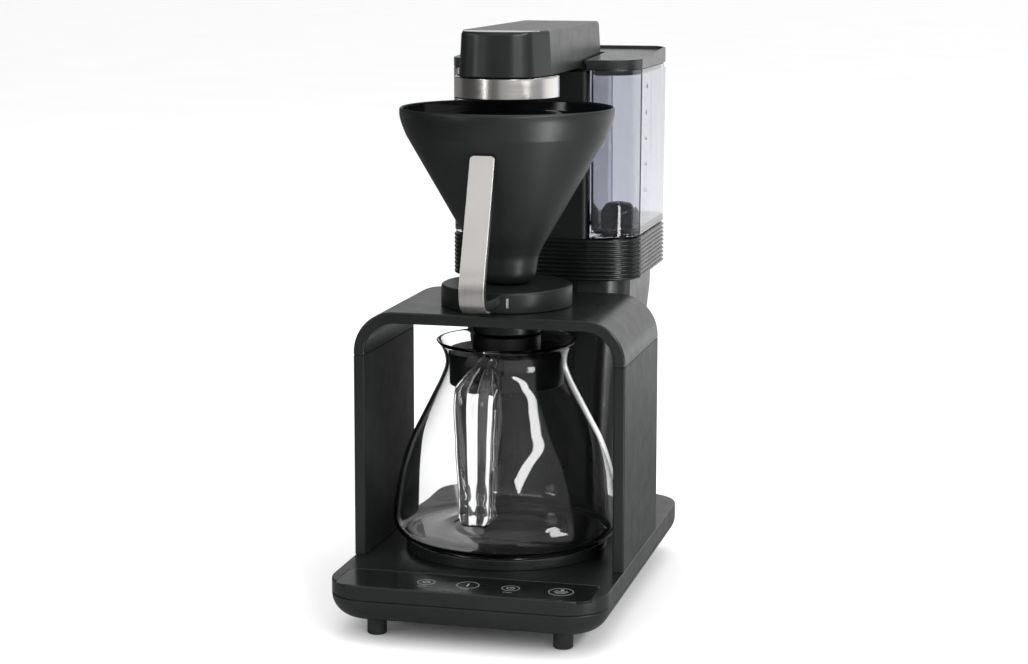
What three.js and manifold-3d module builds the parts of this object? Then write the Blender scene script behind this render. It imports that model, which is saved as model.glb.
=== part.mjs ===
// Pour-over coffee brewer: glass jug under an arch, filter cone on the arch, water tank behind.
// Millimetres, +Z up, +X to the right, -Y towards the person using it. The origin is on the
// floor, under the centre of the whole brewer.
import * as THREE from "three";
import { mergeVertices } from "three/addons/utils/BufferGeometryUtils.js";
import Module from "manifold-3d";

const wasm = await Module();
wasm.setup();

// ---- driving dimensions -------------------------------------------------------------------
const GAP = 0.3; // between pieces that touch
const BODY_WIDTH = 210;
const HALF = BODY_WIDTH / 2;
const FRONT_Y = -193.5;
const PLATE_REAR_Y = 137.5;
const PLAN_R = 32; // corner radius of the base seen from above
const TRAY_Z = 14.5;
const TRAY_TOP = 32;
const PLATE_TOP = 43.2;

const AXIS_Y = -51.5; // jug, cone, drip stop and spout all stand on this axis
const ARCH_FRONT_Y = -111.5;
const ARCH_REAR_Y = 21.5;
const ARCH_TOP = 233;
const ARCH_T = 8.8;
const ARCH_R = 32;
const ARCH_SEAM = 199;

const HOTPLATE_R = 78;
const HOTPLATE_TOP = 52;
const JUG_BASE = HOTPLATE_TOP + GAP;
const JUG_RIM = 206;
const GLASS_T = 2.4;

const DRUM_R = 50.5;
const DRUM_TOP = 249.5;
const CONE_BASE = DRUM_TOP + GAP;
const CONE_RIM = 385;
const CONE_T = 2.4;

const TOWER_CREASE_Y = 82; // where the bowed front meets the flat sides
const TOWER_BOW = 27.5; // how far the front stands ahead of the creases
const TOWER_REAR_Y = 193.5;
const TOWER_HALF = 79;
const TOWER_R = 9;
const NECK_TOP = 235.7;
const COLLAR_Z = 236;
const COLLAR_TOP = 270;
const RIB_COUNT = 10;
const COLUMN_HALF = 39.5;
const COLUMN_FRONT_Y = 56.5;
const COLUMN_REAR_Y = 134.5;
const TANK_Z = 271;
const TANK_T = 2.6;
const LID_Z = 407;
const LID_T = 8;
const TANK_TOP = LID_Z - GAP;
const RIM_T = 2.2;
const RIM_RISE = 3.6;

const ARM_Z = 409.5;
const ARM_TOP = 443.4;
const ARM_T = 2.5;
const RING_R = 40;
const RING_Z = 392;

const ROUND = 24; // sides on large round pieces
const SMALL_ROUND = 12;

// ---- materials ----------------------------------------------------------------------------
const finish = (color, roughness, metalness = 0) =>
  new THREE.MeshStandardMaterial({ color, roughness, metalness });
const matteBlack = finish(0x2a2d2c, 0.55);
const glossBlack = finish(0x0c0d0e, 0.12);
const satinSteel = finish(0xb9b5b0, 0.32, 1);
const brightSteel = finish(0xc4c6c8, 0.2, 1);
const darkMetal = finish(0x55585a, 0.45, 1);
const brass = finish(0xb08a4a, 0.35, 1);
const rubber = finish(0x151515, 0.85);
const silicone = finish(0xd8d8d2, 0.6);
const clearGlass = finish(0xe8f0f2, 0.04);
clearGlass.transparent = true;
clearGlass.opacity = 0.35;
const smokyPlastic = finish(0x9a9cac, 0.1);
smokyPlastic.transparent = true;
smokyPlastic.opacity = 0.5;
const boardGreen = finish(0x1d5a36, 0.5);
const markGrey = finish(0xb8bab8, 0.4);

// ---- solids -------------------------------------------------------------------------------
function toManifold(geometry) {
  const bare = geometry.clone();
  bare.deleteAttribute("normal");
  bare.deleteAttribute("uv");
  const merged = mergeVertices(bare, 1e-4);
  const triVerts = new Uint32Array(merged.index.array);
  const vertProperties = new Float32Array(merged.attributes.position.array);
  const solid = new wasm.Manifold(new wasm.Mesh({ numProp: 3, vertProperties, triVerts }));
  if (solid.volume() > 0) return solid;
  for (let i = 0; i < triVerts.length; i += 3) {
    [triVerts[i + 1], triVerts[i + 2]] = [triVerts[i + 2], triVerts[i + 1]];
  }
  return new wasm.Manifold(new wasm.Mesh({ numProp: 3, vertProperties, triVerts }));
}

function toGeometry(solid) {
  const mesh = solid.getMesh();
  const geometry = new THREE.BufferGeometry();
  geometry.setAttribute("position", new THREE.BufferAttribute(mesh.vertProperties.slice(), 3));
  geometry.setIndex(new THREE.BufferAttribute(mesh.triVerts.slice(), 1));
  return geometry;
}

const tidy = (geometry) => toGeometry(toManifold(geometry));

function cut(geometry, ...tools) {
  let solid = toManifold(geometry);
  for (const tool of tools) solid = solid.subtract(toManifold(tool));
  return toGeometry(solid);
}

function join(geometry, ...others) {
  let solid = toManifold(geometry);
  for (const other of others) solid = solid.add(toManifold(other));
  return toGeometry(solid);
}

function common(geometry, other) {
  return toGeometry(toManifold(geometry).intersect(toManifold(other)));
}

function box(x0, x1, y0, y1, z0, z1) {
  const geometry = new THREE.BoxGeometry(x1 - x0, y1 - y0, z1 - z0);
  return geometry.translate((x0 + x1) / 2, (y0 + y1) / 2, (z0 + z1) / 2);
}

// A solid of revolution about a vertical axis, from [radius, height] points.
function turned(profile, x = 0, y = AXIS_Y, sides = ROUND) {
  const points = profile.map(([r, z]) => new THREE.Vector2(r, z));
  const geometry = new THREE.LatheGeometry(points, sides);
  return tidy(geometry.rotateX(Math.PI / 2).translate(x, y, 0));
}

function cylinder(r, z0, z1, x = 0, y = AXIS_Y, sides = SMALL_ROUND) {
  return turned([[0, z0], [r, z0], [r, z1], [0, z1]], x, y, sides);
}

// A tube-like bar of any section swept along a smooth curve.
function swept(points, section, steps, type = "centripetal") {
  const path = new THREE.CatmullRomCurve3(points.map((p) => new THREE.Vector3(...p)), false, type);
  const options = { steps, extrudePath: path, bevelEnabled: false };
  return tidy(new THREE.ExtrudeGeometry(new THREE.Shape(section), options));
}

function circleSection(r, sides = 8) {
  return Array.from({ length: sides }, (_, i) => {
    const a = (i * 2 * Math.PI) / sides;
    return new THREE.Vector2(r * Math.cos(a), r * Math.sin(a));
  });
}

function ellipseSection(a, b, sides) {
  return circleSection(1, sides).map((p) => new THREE.Vector2(p.x * a, p.y * b));
}

// An outline is a list of [x, y] corners with a rounding radius each, turned counterclockwise.
function roundedOutline(corners, steps = 4) {
  const outline = [];
  corners.forEach(([x, y, r], i) => {
    const before = corners[(i + corners.length - 1) % corners.length];
    const after = corners[(i + 1) % corners.length];
    const here = new THREE.Vector2(x, y);
    const back = new THREE.Vector2(before[0] - x, before[1] - y).normalize();
    const ahead = new THREE.Vector2(after[0] - x, after[1] - y).normalize();
    const halfAngle = Math.acos(THREE.MathUtils.clamp(back.dot(ahead), -1, 1)) / 2;
    const start = here.clone().addScaledVector(back, r / Math.tan(halfAngle));
    const end = here.clone().addScaledVector(ahead, r / Math.tan(halfAngle));
    for (let k = 0; k <= steps; k++) {
      const t = k / steps;
      const a = start.clone().lerp(here, t);
      const b = here.clone().lerp(end, t);
      outline.push(a.lerp(b, t));
    }
  });
  return outline;
}

function rectOutline(x0, x1, y0, y1, r, steps) {
  return roundedOutline([[x0, y0, r], [x1, y0, r], [x1, y1, r], [x0, y1, r]], steps);
}

// Moves every edge of a counterclockwise list of corners inwards by the same distance.
function insetCorners(corners, inset) {
  return corners.map(([x, y, r], i) => {
    const before = corners[(i + corners.length - 1) % corners.length];
    const after = corners[(i + 1) % corners.length];
    const a = new THREE.Vector2(x - before[0], y - before[1]).normalize();
    const b = new THREE.Vector2(after[0] - x, after[1] - y).normalize();
    const reach = inset / (1 + a.dot(b));
    return [x - (a.y + b.y) * reach, y + (a.x + b.x) * reach, Math.max(r - inset, 1)];
  });
}

// Joins a chain of [outline, height] rings that have equally many points. The chain is capped
// at both ends, or runs back to its first ring when it is a through tube.
function chained(rings, through = false) {
  const count = rings[0][0].length;
  const positions = [];
  for (const [outline, z] of rings) outline.forEach((p) => positions.push(p.x, p.y, z));
  const index = [];
  const pairs = through ? rings.length : rings.length - 1;
  for (let k = 0; k < pairs; k++) {
    const low = k * count;
    const high = ((k + 1) % rings.length) * count;
    for (let i = 0; i < count; i++) {
      const j = (i + 1) % count;
      index.push(low + i, low + j, high + j, low + i, high + j, high + i);
    }
  }
  if (!through) {
    const last = (rings.length - 1) * count;
    for (const [a, b, c] of THREE.ShapeUtils.triangulateShape(rings[0][0], [])) {
      index.push(c, b, a);
    }
    for (const [a, b, c] of THREE.ShapeUtils.triangulateShape(rings.at(-1)[0], [])) {
      index.push(last + a, last + b, last + c);
    }
  }
  const geometry = new THREE.BufferGeometry();
  geometry.setAttribute("position", new THREE.Float32BufferAttribute(positions, 3));
  geometry.setIndex(index);
  return tidy(geometry);
}

const brewer = new THREE.Group();
function add(name, geometry, material) {
  const mesh = new THREE.Mesh(geometry, material);
  mesh.name = name;
  brewer.add(mesh);
}

// ---- base ---------------------------------------------------------------------------------
const FOOT_X = 71;
const FOOT_FRONT_Y = FRONT_Y + 30;
const FOOT_REAR_Y = PLATE_REAR_Y - 34;
const FOOT_R = 7.3;
const TRAY_WALL = 3;
const TOUCH_DEPTH = 44;
const TOUCH_HALF = 96.5;
const TOUCH_T = 1.6;

function plateOutline(inset) {
  const x = HALF - inset;
  return rectOutline(-x, x, FRONT_Y + inset, PLATE_REAR_Y - inset, PLAN_R - inset, 4);
}

// The tray is an open tub whose lower edge is a quarter round.
function trayRings() {
  const outer = [];
  const inner = [];
  const edge = TRAY_TOP - TRAY_Z;
  const steps = 3;
  for (let k = 0; k <= steps; k++) {
    const a = (k / steps) * (Math.PI / 2);
    const inset = edge * (1 - Math.sin(a));
    const z = TRAY_TOP - edge * Math.cos(a);
    outer.push([plateOutline(inset), z]);
    if (k > 0) inner.unshift([plateOutline(inset + TRAY_WALL), Math.min(z + TRAY_WALL, TRAY_TOP)]);
  }
  return [...outer, ...inner];
}

const footPlaces = {
  foot_front_left: [-FOOT_X, FOOT_FRONT_Y],
  foot_front_right: [FOOT_X, FOOT_FRONT_Y],
  foot_rear_left: [-FOOT_X, FOOT_REAR_Y],
  foot_rear_right: [FOOT_X, FOOT_REAR_Y],
};

function addBase() {
  const screwHoles = [];
  const SCREW_R = 2.6;
  let number = 1;
  for (const y of [FRONT_Y + 70, PLATE_REAR_Y - 70]) {
    for (const x of [-50, 50]) {
      screwHoles.push(cylinder(SCREW_R + GAP, TRAY_Z - 1, TRAY_Z + 9, x, y, 12));
      const head = cylinder(SCREW_R, TRAY_Z + 0.8, TRAY_Z + 8, x, y, 12);
      const slot = box(x - 1.8, x + 1.8, y - 0.4, y + 0.4, TRAY_Z, TRAY_Z + 1.6);
      add(`tray_screw_${number++}`, cut(head, slot), brightSteel);
    }
  }
  add("base_tray", cut(chained(trayRings()), ...screwHoles), matteBlack);

  for (const [name, [x, y]] of Object.entries(footPlaces)) {
    const top = TRAY_Z - GAP;
    const profile = [[0, 0], [FOOT_R - 1.2, 0], [FOOT_R, 1.2], [FOOT_R, top], [0, top]];
    add(name, turned(profile, x, y, 20), rubber);
  }

  const skirt = plateOutline(TRAY_WALL);
  const plate = chained([
    [skirt, PLATE_TOP - 4],
    [skirt, TRAY_TOP + GAP],
    [plateOutline(0.6), TRAY_TOP + GAP],
    [plateOutline(0), TRAY_TOP + 1],
    [plateOutline(0), PLATE_TOP - 0.8],
    [plateOutline(0.8), PLATE_TOP],
  ]);
  const hotplateHole = cylinder(HOTPLATE_R - 6, PLATE_TOP - 8, PLATE_TOP + 2, 0, AXIS_Y, ROUND);
  const panelY0 = FRONT_Y + 3.5;
  const panelRecess = chained([
    [rectOutline(-TOUCH_HALF - GAP, TOUCH_HALF + GAP, panelY0 - GAP, panelY0 + TOUCH_DEPTH, 9, 4),
      PLATE_TOP - TOUCH_T - GAP],
    [rectOutline(-TOUCH_HALF - GAP, TOUCH_HALF + GAP, panelY0 - GAP, panelY0 + TOUCH_DEPTH, 9, 4),
      PLATE_TOP + 1],
  ]);
  const ribbonSlot = box(-20, 20, panelY0 + 15, panelY0 + 22, PLATE_TOP - 8, PLATE_TOP);
  const wireway = box(-34, 34, 80, 116, PLATE_TOP - 8, PLATE_TOP + 2);
  add("base_plate", cut(plate, hotplateHole, panelRecess, ribbonSlot, wireway), matteBlack);

  const panel = rectOutline(-TOUCH_HALF, TOUCH_HALF, panelY0, panelY0 + TOUCH_DEPTH - GAP, 9, 4);
  add("touch_panel", chained([[panel, PLATE_TOP - TOUCH_T], [panel, PLATE_TOP]]), glossBlack);
  add("touch_board", box(-80, 80, panelY0 + 9, panelY0 + 34, 35, 36.6), boardGreen);

  // The hotplate is a shallow dish standing proud of the base on a plain wall.
  const hotplate = turned([
    [0, HOTPLATE_TOP - 2.5], [HOTPLATE_R - 9, HOTPLATE_TOP - 2.5],
    [HOTPLATE_R - 9, PLATE_TOP - 4], [HOTPLATE_R - 7, PLATE_TOP - 4],
    [HOTPLATE_R - 7, PLATE_TOP + GAP], [HOTPLATE_R - 3, PLATE_TOP + GAP],
    [HOTPLATE_R - 3, HOTPLATE_TOP - 1], [HOTPLATE_R - 4, HOTPLATE_TOP], [0, HOTPLATE_TOP],
  ]);
  add("warming_plate", hotplate, glossBlack);
  add("warming_plate_ring", turned([
    [HOTPLATE_R - 2.6, PLATE_TOP + GAP], [HOTPLATE_R, PLATE_TOP + GAP],
    [HOTPLATE_R, HOTPLATE_TOP - 1.6], [HOTPLATE_R - 1, HOTPLATE_TOP - 0.6],
    [HOTPLATE_R - 2.6, HOTPLATE_TOP - 0.6], [HOTPLATE_R - 2.6, PLATE_TOP + GAP],
  ]), matteBlack);
  const ELEMENT_R = 50;
  const ELEMENT_TUBE = 3.2;
  const elementZ = HOTPLATE_TOP - 2.5 - GAP - ELEMENT_TUBE;
  const element = Array.from({ length: 25 }, (_, i) => {
    const a = THREE.MathUtils.degToRad(15 + (330 * i) / 24);
    return [ELEMENT_R * Math.sin(a), AXIS_Y + ELEMENT_R * Math.cos(a), elementZ];
  });
  add("plate_heater", swept(element, circleSection(ELEMENT_TUBE, 6), 22), darkMetal);

  const gland = turned([
    [0, 0], [7, 0], [7, 3], [5, 3], [4.2, 14], [0, 14],
  ], 0, 0, SMALL_ROUND);
  const bore = turned([[0, 1.5], [2.6, 1.5], [2.6, 20], [0, 20]], 0, 0, 12);
  const glandPiece = cut(gland, bore).rotateX(-Math.PI / 2);
  add("cable_gland", glandPiece.translate(-62, PLATE_REAR_Y + GAP, TRAY_TOP - 8), rubber);
}

// ---- arch ---------------------------------------------------------------------------------
function addArch() {
  const inner = HALF - ARCH_T;
  const legZ = PLATE_TOP + GAP;
  for (const [name, side] of [["arch_left_leg", -1], ["arch_right_leg", 1]]) {
    const x0 = Math.min(side * inner, side * HALF);
    const leg = rectOutline(x0, x0 + ARCH_T, ARCH_FRONT_Y, ARCH_REAR_Y, 1, 2);
    add(name, chained([[leg, legZ], [leg, ARCH_SEAM - GAP]]), matteBlack);
  }

  // The bridge is an upside-down U, drawn from the front and extruded to the rear.
  const band = new THREE.Shape();
  const shoulder = ARCH_TOP - ARCH_R;
  band.moveTo(-HALF, ARCH_SEAM);
  band.lineTo(-HALF, shoulder);
  band.absarc(-HALF + ARCH_R, shoulder, ARCH_R, Math.PI, Math.PI / 2, true);
  band.lineTo(HALF - ARCH_R, ARCH_TOP);
  band.absarc(HALF - ARCH_R, shoulder, ARCH_R, Math.PI / 2, 0, true);
  band.lineTo(HALF, ARCH_SEAM);
  band.lineTo(inner, ARCH_SEAM);
  band.lineTo(inner, shoulder);
  band.absarc(HALF - ARCH_R, shoulder, ARCH_R - ARCH_T, 0, Math.PI / 2, false);
  band.lineTo(-HALF + ARCH_R, ARCH_TOP - ARCH_T);
  band.absarc(-HALF + ARCH_R, shoulder, ARCH_R - ARCH_T, Math.PI / 2, Math.PI, false);
  band.lineTo(-inner, ARCH_SEAM);
  const depth = ARCH_REAR_Y - ARCH_FRONT_Y;
  const bridge = new THREE.ExtrudeGeometry(band, { depth, bevelEnabled: false, curveSegments: 8 });
  bridge.rotateX(Math.PI / 2).translate(0, ARCH_REAR_Y, 0);
  const throat = cylinder(15, ARCH_TOP - 20, ARCH_TOP + 2, 0, AXIS_Y, 24);
  add("arch_bridge", cut(bridge, throat), matteBlack);
}

// ---- drip stop ----------------------------------------------------------------------------
const OUTLET_R = 27;
const OUTLET_Z = 212;
const PLUNGER_R = 8;

function addDripStop() {
  const underside = ARCH_TOP - ARCH_T - GAP;
  const lipTop = OUTLET_Z + 5;
  add("outlet_housing", turned([
    [9, lipTop], [9, OUTLET_Z + 1], [OUTLET_R - 1, OUTLET_Z], [OUTLET_R, OUTLET_Z + 1],
    [OUTLET_R, underside], [14.6, underside], [14.6, ARCH_TOP - 1], [12.8, ARCH_TOP - 1],
    [12.8, lipTop], [9, lipTop],
  ], 0, AXIS_Y, 24), matteBlack);
  add("drip_retainer", turned([
    [5, ARCH_TOP - 2.6], [12.4, ARCH_TOP - 2.6], [12.4, ARCH_TOP - 0.6], [5, ARCH_TOP - 0.6],
    [5, ARCH_TOP - 2.6],
  ], 0, AXIS_Y, 20), matteBlack);
  add("drip_seal", turned([
    [PLUNGER_R + GAP, lipTop + GAP], [12.2, lipTop + GAP], [12.2, lipTop + 2.6],
    [PLUNGER_R + GAP, lipTop + 2.6], [PLUNGER_R + GAP, lipTop + GAP],
  ], 0, AXIS_Y, 20), silicone);
  const flangeZ = lipTop + 3;
  add("drip_plunger", turned([
    [0, OUTLET_Z + 0.5], [PLUNGER_R - 1.5, OUTLET_Z + 0.5], [PLUNGER_R, OUTLET_Z + 2],
    [PLUNGER_R, flangeZ], [11.5, flangeZ], [11.5, flangeZ + 2], [3.5, flangeZ + 2],
    [3.5, flangeZ + 9], [0, flangeZ + 9],
  ], 0, AXIS_Y, 20), matteBlack);
  add("drip_spring",
    helix(0, AXIS_Y, 6.2, 0.5, flangeZ + 2.8, ARCH_TOP - 3.4, 3), brightSteel);
}

// A round-wire compression spring.
function helix(x, y, r, wire, z0, z1, turns) {
  const steps = Math.round(turns * 8);
  const points = Array.from({ length: steps + 1 }, (_, i) => {
    const a = (i / 8) * 2 * Math.PI;
    return [x + r * Math.cos(a), y + r * Math.sin(a), z0 + ((z1 - z0) * i) / steps];
  });
  return swept(points, circleSection(wire, 4), steps);
}

// ---- filter holder ------------------------------------------------------------------------
const CONE_STRAIGHT = [[24, 268], [27, 276.5], [77, 364]];
const CONE_LIP = [[80.6, 373.5], [82, 380], [81.8, CONE_RIM - 0.6]];

function addFilterHolder() {
  const outside = [[13, CONE_BASE], [18.5, 251.5], [22.5, 257], ...CONE_STRAIGHT, ...CONE_LIP];
  const inside = outside.slice(1).map(([r, z]) => [r - CONE_T, z + 0.6]).reverse();
  const bottom = CONE_BASE + 2.4;
  inside[inside.length - 1] = [14, bottom + 1.6];
  add("cone_shell", turned([
    [5, CONE_BASE], ...outside, [81.2, CONE_RIM], ...inside, [11, bottom], [5, bottom],
    [5, CONE_BASE],
  ]), matteBlack);

  // The removable liner stands inside the shell and carries the ribs that hold the paper off.
  const linerGap = 0.5;
  const linerT = 1.4;
  const linerOut = [[24 - 3.2 - linerGap, 270], [27 - 3 - linerGap, 278], [77 - 3 - linerGap, 366.5],
    [78 - linerGap, 377]];
  const linerIn = linerOut.map(([r, z]) => [r - linerT, z]).reverse();
  const liner = turned([
    [4, 256.6], [14, 256.6], ...linerOut, ...linerIn, [13, 258.2], [4, 258.2], [4, 256.6],
  ]);
  add("filter_liner", liner, glossBlack);

  const drum = turned([
    [7, DRUM_TOP - 3], [DRUM_R - 3, DRUM_TOP - 3], [DRUM_R - 3, ARCH_TOP + GAP],
    [DRUM_R, ARCH_TOP + GAP], [DRUM_R, DRUM_TOP - 2.5], [DRUM_R - 0.8, DRUM_TOP - 0.8],
    [DRUM_R - 2.5, DRUM_TOP], [7, DRUM_TOP], [7, DRUM_TOP - 3],
  ]);
  const markSlot = box(-0.9 - GAP, 0.9 + GAP, -DRUM_R - 1, -DRUM_R + 0.9 + GAP, 237.7, 245.3);
  markSlot.rotateZ(MARK_ANGLE).translate(0, AXIS_Y, 0);
  add("filter_drum", cut(drum, markSlot), matteBlack);
  const mark = box(-0.9, 0.9, -DRUM_R - 0.1, -DRUM_R + 0.9, 238, 245);
  add("drum_mark", tidy(mark.rotateZ(MARK_ANGLE).translate(0, AXIS_Y, 0)), markGrey);

  const holder = turned([
    [0, ARCH_TOP], [DRUM_R + GAP, ARCH_TOP], [DRUM_R + GAP, CONE_BASE],
    ...outside.map(([r, z]) => [r + GAP, z]), [0, CONE_RIM],
  ]);
  const seat = handleBar(HANDLE_STRIP, 11, STRIP_T / 2 + GAP, HANDLE_STEPS);
  const core = handleBar(HANDLE_CORE, 7.6, 3.6, HANDLE_STEPS);
  add("handle_core", cut(core, holder, seat), matteBlack);
  add("handle_strip", handleBar(HANDLE_STRIP, 9.5, STRIP_T / 2, HANDLE_STEPS), satinSteel);
}

// The handle's centre lines, as [radius in front of the axis, height], top to bottom.
const MARK_ANGLE = THREE.MathUtils.degToRad(14.5);
const HANDLE_FRONT = [[74, 350], [84, 322], [94, 294], [102.5, 270], [105.5, 258], [103, 248]];
const HANDLE_CURL = [[96, 242.5], [86, 240.5]];
const HANDLE_CORE = [
  ...HANDLE_FRONT.map(([r, z]) => [r - 5.2, z - (z > 300 ? 2 : 0)]),
  [94, 247.2], [84, 245.6], [68, 244.6], [DRUM_R - 2, 244.6],
];
const HANDLE_STRIP = [...HANDLE_FRONT, ...HANDLE_CURL];
const HANDLE_STEPS = 12;
const STRIP_T = 1.5;

// A flat bar bent in the plane x = 0: half its width lies along X.
function handleBar(centres, halfWidth, halfThick, steps) {
  const curve = new THREE.CatmullRomCurve3(
    centres.map(([r, z]) => new THREE.Vector3(0, AXIS_Y - r, z)), false, "centripetal",
  );
  const rings = [];
  for (let k = 0; k <= steps; k++) {
    const p = curve.getPointAt(k / steps);
    const t = curve.getTangentAt(k / steps);
    const n = new THREE.Vector3(0, -t.z, t.y);
    const soft = Math.min(halfThick * 0.6, 1);
    rings.push([
      [-halfWidth + soft, -halfThick], [halfWidth - soft, -halfThick], [halfWidth, -halfThick + soft],
      [halfWidth, halfThick - soft], [halfWidth - soft, halfThick], [-halfWidth + soft, halfThick],
      [-halfWidth, halfThick - soft], [-halfWidth, -halfThick + soft],
    ].map(([x, d]) => p.clone().addScaledVector(n, d).setX(x)));
  }
  return lofted(rings);
}

// Joins rings of 3-D points, each with equally many, and closes both ends with a fan.
function lofted(rings) {
  const count = rings[0].length;
  const index = [];
  for (let k = 0; k + 1 < rings.length; k++) {
    for (let i = 0; i < count; i++) {
      const a = k * count + i;
      const b = k * count + ((i + 1) % count);
      index.push(a, b, b + count, a, b + count, a + count);
    }
  }
  const last = (rings.length - 1) * count;
  for (let i = 1; i + 1 < count; i++) {
    index.push(0, i + 1, i);
    index.push(last, last + i, last + i + 1);
  }
  const geometry = new THREE.BufferGeometry().setFromPoints(rings.flat());
  geometry.setIndex(index);
  return tidy(geometry);
}

// ---- jug ----------------------------------------------------------------------------------
const JUG_WALL = [
  [80, JUG_BASE + 1.6], [85.4, 58.5], [88, 68], [86.4, 84], [82, 106], [76.5, 124], [67, 142],
  [50, 178], [47.2, 187], [48.6, 195], [54, JUG_RIM - 1],
];
const JUG_HANDLE = [
  [50.5, 198.5], [62, 195.5], [76, 190], [86, 184.5], [91.5, 176.5], [93.2, 164], [93.6, 140],
  [93.4, 116], [93, 96], [94.5, 87], [98, 81.5],
];
const JUG_HANDLE_HALF = [[0, 6.5], [0.1, 9], [0.27, 16.5], [0.34, 17], [1, 13]]; // share, half width

function stepped(table, at) {
  const k = table.findIndex(([share]) => share >= at);
  if (k <= 0) return table[0][1];
  const [s0, v0] = table[k - 1];
  const [s1, v1] = table[k];
  return THREE.MathUtils.lerp(v0, v1, (at - s0) / (s1 - s0));
}

function addJug() {
  const inside = JUG_WALL.map(([r, z]) => [r - GLASS_T, z]).reverse();
  inside.pop();
  add("jug_glass", turned([
    [0, JUG_BASE + 1.4], [60, JUG_BASE + 1], [68, JUG_BASE], [74, JUG_BASE], ...JUG_WALL,
    [53, JUG_RIM], ...inside, [78, JUG_BASE + 4.2], [66, JUG_BASE + 4], [0, JUG_BASE + 4.4],
  ]), clearGlass);

  const centre = new THREE.CatmullRomCurve3(
    JUG_HANDLE.map(([r, z]) => new THREE.Vector3(0, AXIS_Y - r, z)), false, "centripetal",
  );
  const steps = 18;
  const rings = [];
  for (let k = 0; k <= steps; k++) {
    const s = k / steps;
    const p = centre.getPointAt(s);
    const t = centre.getTangentAt(s);
    const n = new THREE.Vector3(0, -t.z, t.y);
    const halfWidth = stepped(JUG_HANDLE_HALF, s);
    const halfThick = 4.8;
    rings.push(ellipseSection(halfWidth, halfThick, 8).map(
      (e) => p.clone().addScaledVector(n, e.y).setX(e.x)));
  }
  const body = [[0, 40], ...JUG_WALL.map(([r, z]) => [r + GAP, z]), [54 + GAP, 212], [0, 212]];
  add("jug_handle", cut(lofted(rings), turned(body)), clearGlass);
}

function addJugLid() {
  // A skirt fits in the neck, a deck closes it and a boss with a funnel stands on the deck.
  const bossTop = OUTLET_Z - 1.6;
  const skirtR = 44;
  const skirtZ = 171.5;
  const lid = turned([
    [skirtR - 2.4, skirtZ], [skirtR, skirtZ], [skirtR, 188], [45.2, 195], [45.2, 198],
    [OUTLET_R - 0.5, 198], [OUTLET_R - 0.5, bossTop], [13, bossTop], [11.5, 203], [5, 199],
    [5, 194], [skirtR - 4, 194], [skirtR - 2.4, 186], [skirtR - 2.4, skirtZ],
  ]);
  const pourSlot = box(-9, 9, AXIS_Y + 28, AXIS_Y + 40, 190, 200);
  add("jug_lid", cut(lid, pourSlot), matteBlack);
}

// ---- tower --------------------------------------------------------------------------------
// [height, half width, crease, rear] of the neck between the base and the ribbed collar.
const NECK = [
  [PLATE_TOP + GAP, 60, 68, 134], [75, 61, 72, 142], [140, 64, 78, 160], [205, 68.5, 82, 181],
  [215, 69.5, 83.5, 183.5], [NECK_TOP, 70, 83.5, 183.5],
];
const NECK_WALL = 3;
const WINDOW_HALF = 44;
const WINDOW_Z = [62, 206];

// The tower's corners from above, counterclockwise from the right end of the flat middle of the
// front: a bow back to the crease, a flat side, and the same again on the left.
function towerCorners(half, creaseY, rearY, middle) {
  const size = half / TOWER_HALF;
  const right = [
    [middle, creaseY - TOWER_BOW * size, 2.5],
    [0.772 * half, creaseY - (TOWER_BOW - 3) * size, 30 * size],
    [0.943 * half, creaseY - (TOWER_BOW - 13.5) * size, 20 * size],
    [half, creaseY, 1.5], [half, rearY, TOWER_R],
  ];
  return [...right, ...right.map(([x, y, r]) => [-x, y, r]).reverse()];
}

function neckRings(inset) {
  return NECK.map(([z, half, crease, rear]) => [
    roundedOutline(insetCorners(towerCorners(half, crease, rear, 0.45 * half), inset), 2), z,
  ]);
}

function addTower() {
  const neck = chained([...neckRings(0), ...neckRings(NECK_WALL).reverse()], true);
  const window = (grow) => box(
    -WINDOW_HALF - grow, WINDOW_HALF + grow, 120, 200, WINDOW_Z[0] - grow, WINDOW_Z[1] + grow);
  add("neck_shell", cut(neck, window(GAP)), matteBlack);
  add("rear_cover", common(neck, window(0)), matteBlack);

  const rings = [];
  const pitch = (COLLAR_TOP - COLLAR_Z) / RIB_COUNT;
  const plan = towerCorners(TOWER_HALF, TOWER_CREASE_Y, TOWER_REAR_Y, COLUMN_HALF);
  const ring = (inset, z) => [roundedOutline(insetCorners(plan, inset), 2), z];
  for (let i = 0; i < RIB_COUNT; i++) {
    const z = COLLAR_Z + i * pitch;
    rings.push(ring(1.3, z));
    rings.push(ring(0, z + pitch / 2));
  }
  rings.push(ring(1.3, COLLAR_TOP));
  const deck = COLLAR_TOP - 3;
  const collar = chained([ring(4.5, deck), ring(4.5, COLLAR_Z), ...rings]);
  const columnHole = box(-COLUMN_HALF + 4, COLUMN_HALF - 4, COLUMN_FRONT_Y + 6,
    COLUMN_REAR_Y - 4, deck - 4, COLLAR_TOP + 4);
  const valveHole = cylinder(9, deck - 4, COLLAR_TOP + 4, VALVE_X, VALVE_Y, 20);
  add("ribbed_collar", cut(collar, columnHole, valveHole), matteBlack);

  // The column narrows under the arm, so that the tank's lid can lap over its shoulder.
  const columnRing = (inset, z) => [
    rectOutline(-COLUMN_HALF + inset, COLUMN_HALF - inset, COLUMN_FRONT_Y + inset,
      COLUMN_REAR_Y - inset, 5 - inset * 0.6, 3), z,
  ];
  const shoulder = LID_Z - 1.6;
  const wall = 2.5;
  add("column_cover", chained([
    columnRing(0, COLLAR_TOP + GAP), columnRing(0, shoulder), columnRing(4, shoulder + 1),
    columnRing(4, ARM_Z - GAP), columnRing(4 + wall, ARM_Z - GAP),
    columnRing(4 + wall, shoulder - 1), columnRing(wall, shoulder - 2),
    columnRing(wall, COLLAR_TOP + GAP),
  ], true), matteBlack);
}

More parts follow.
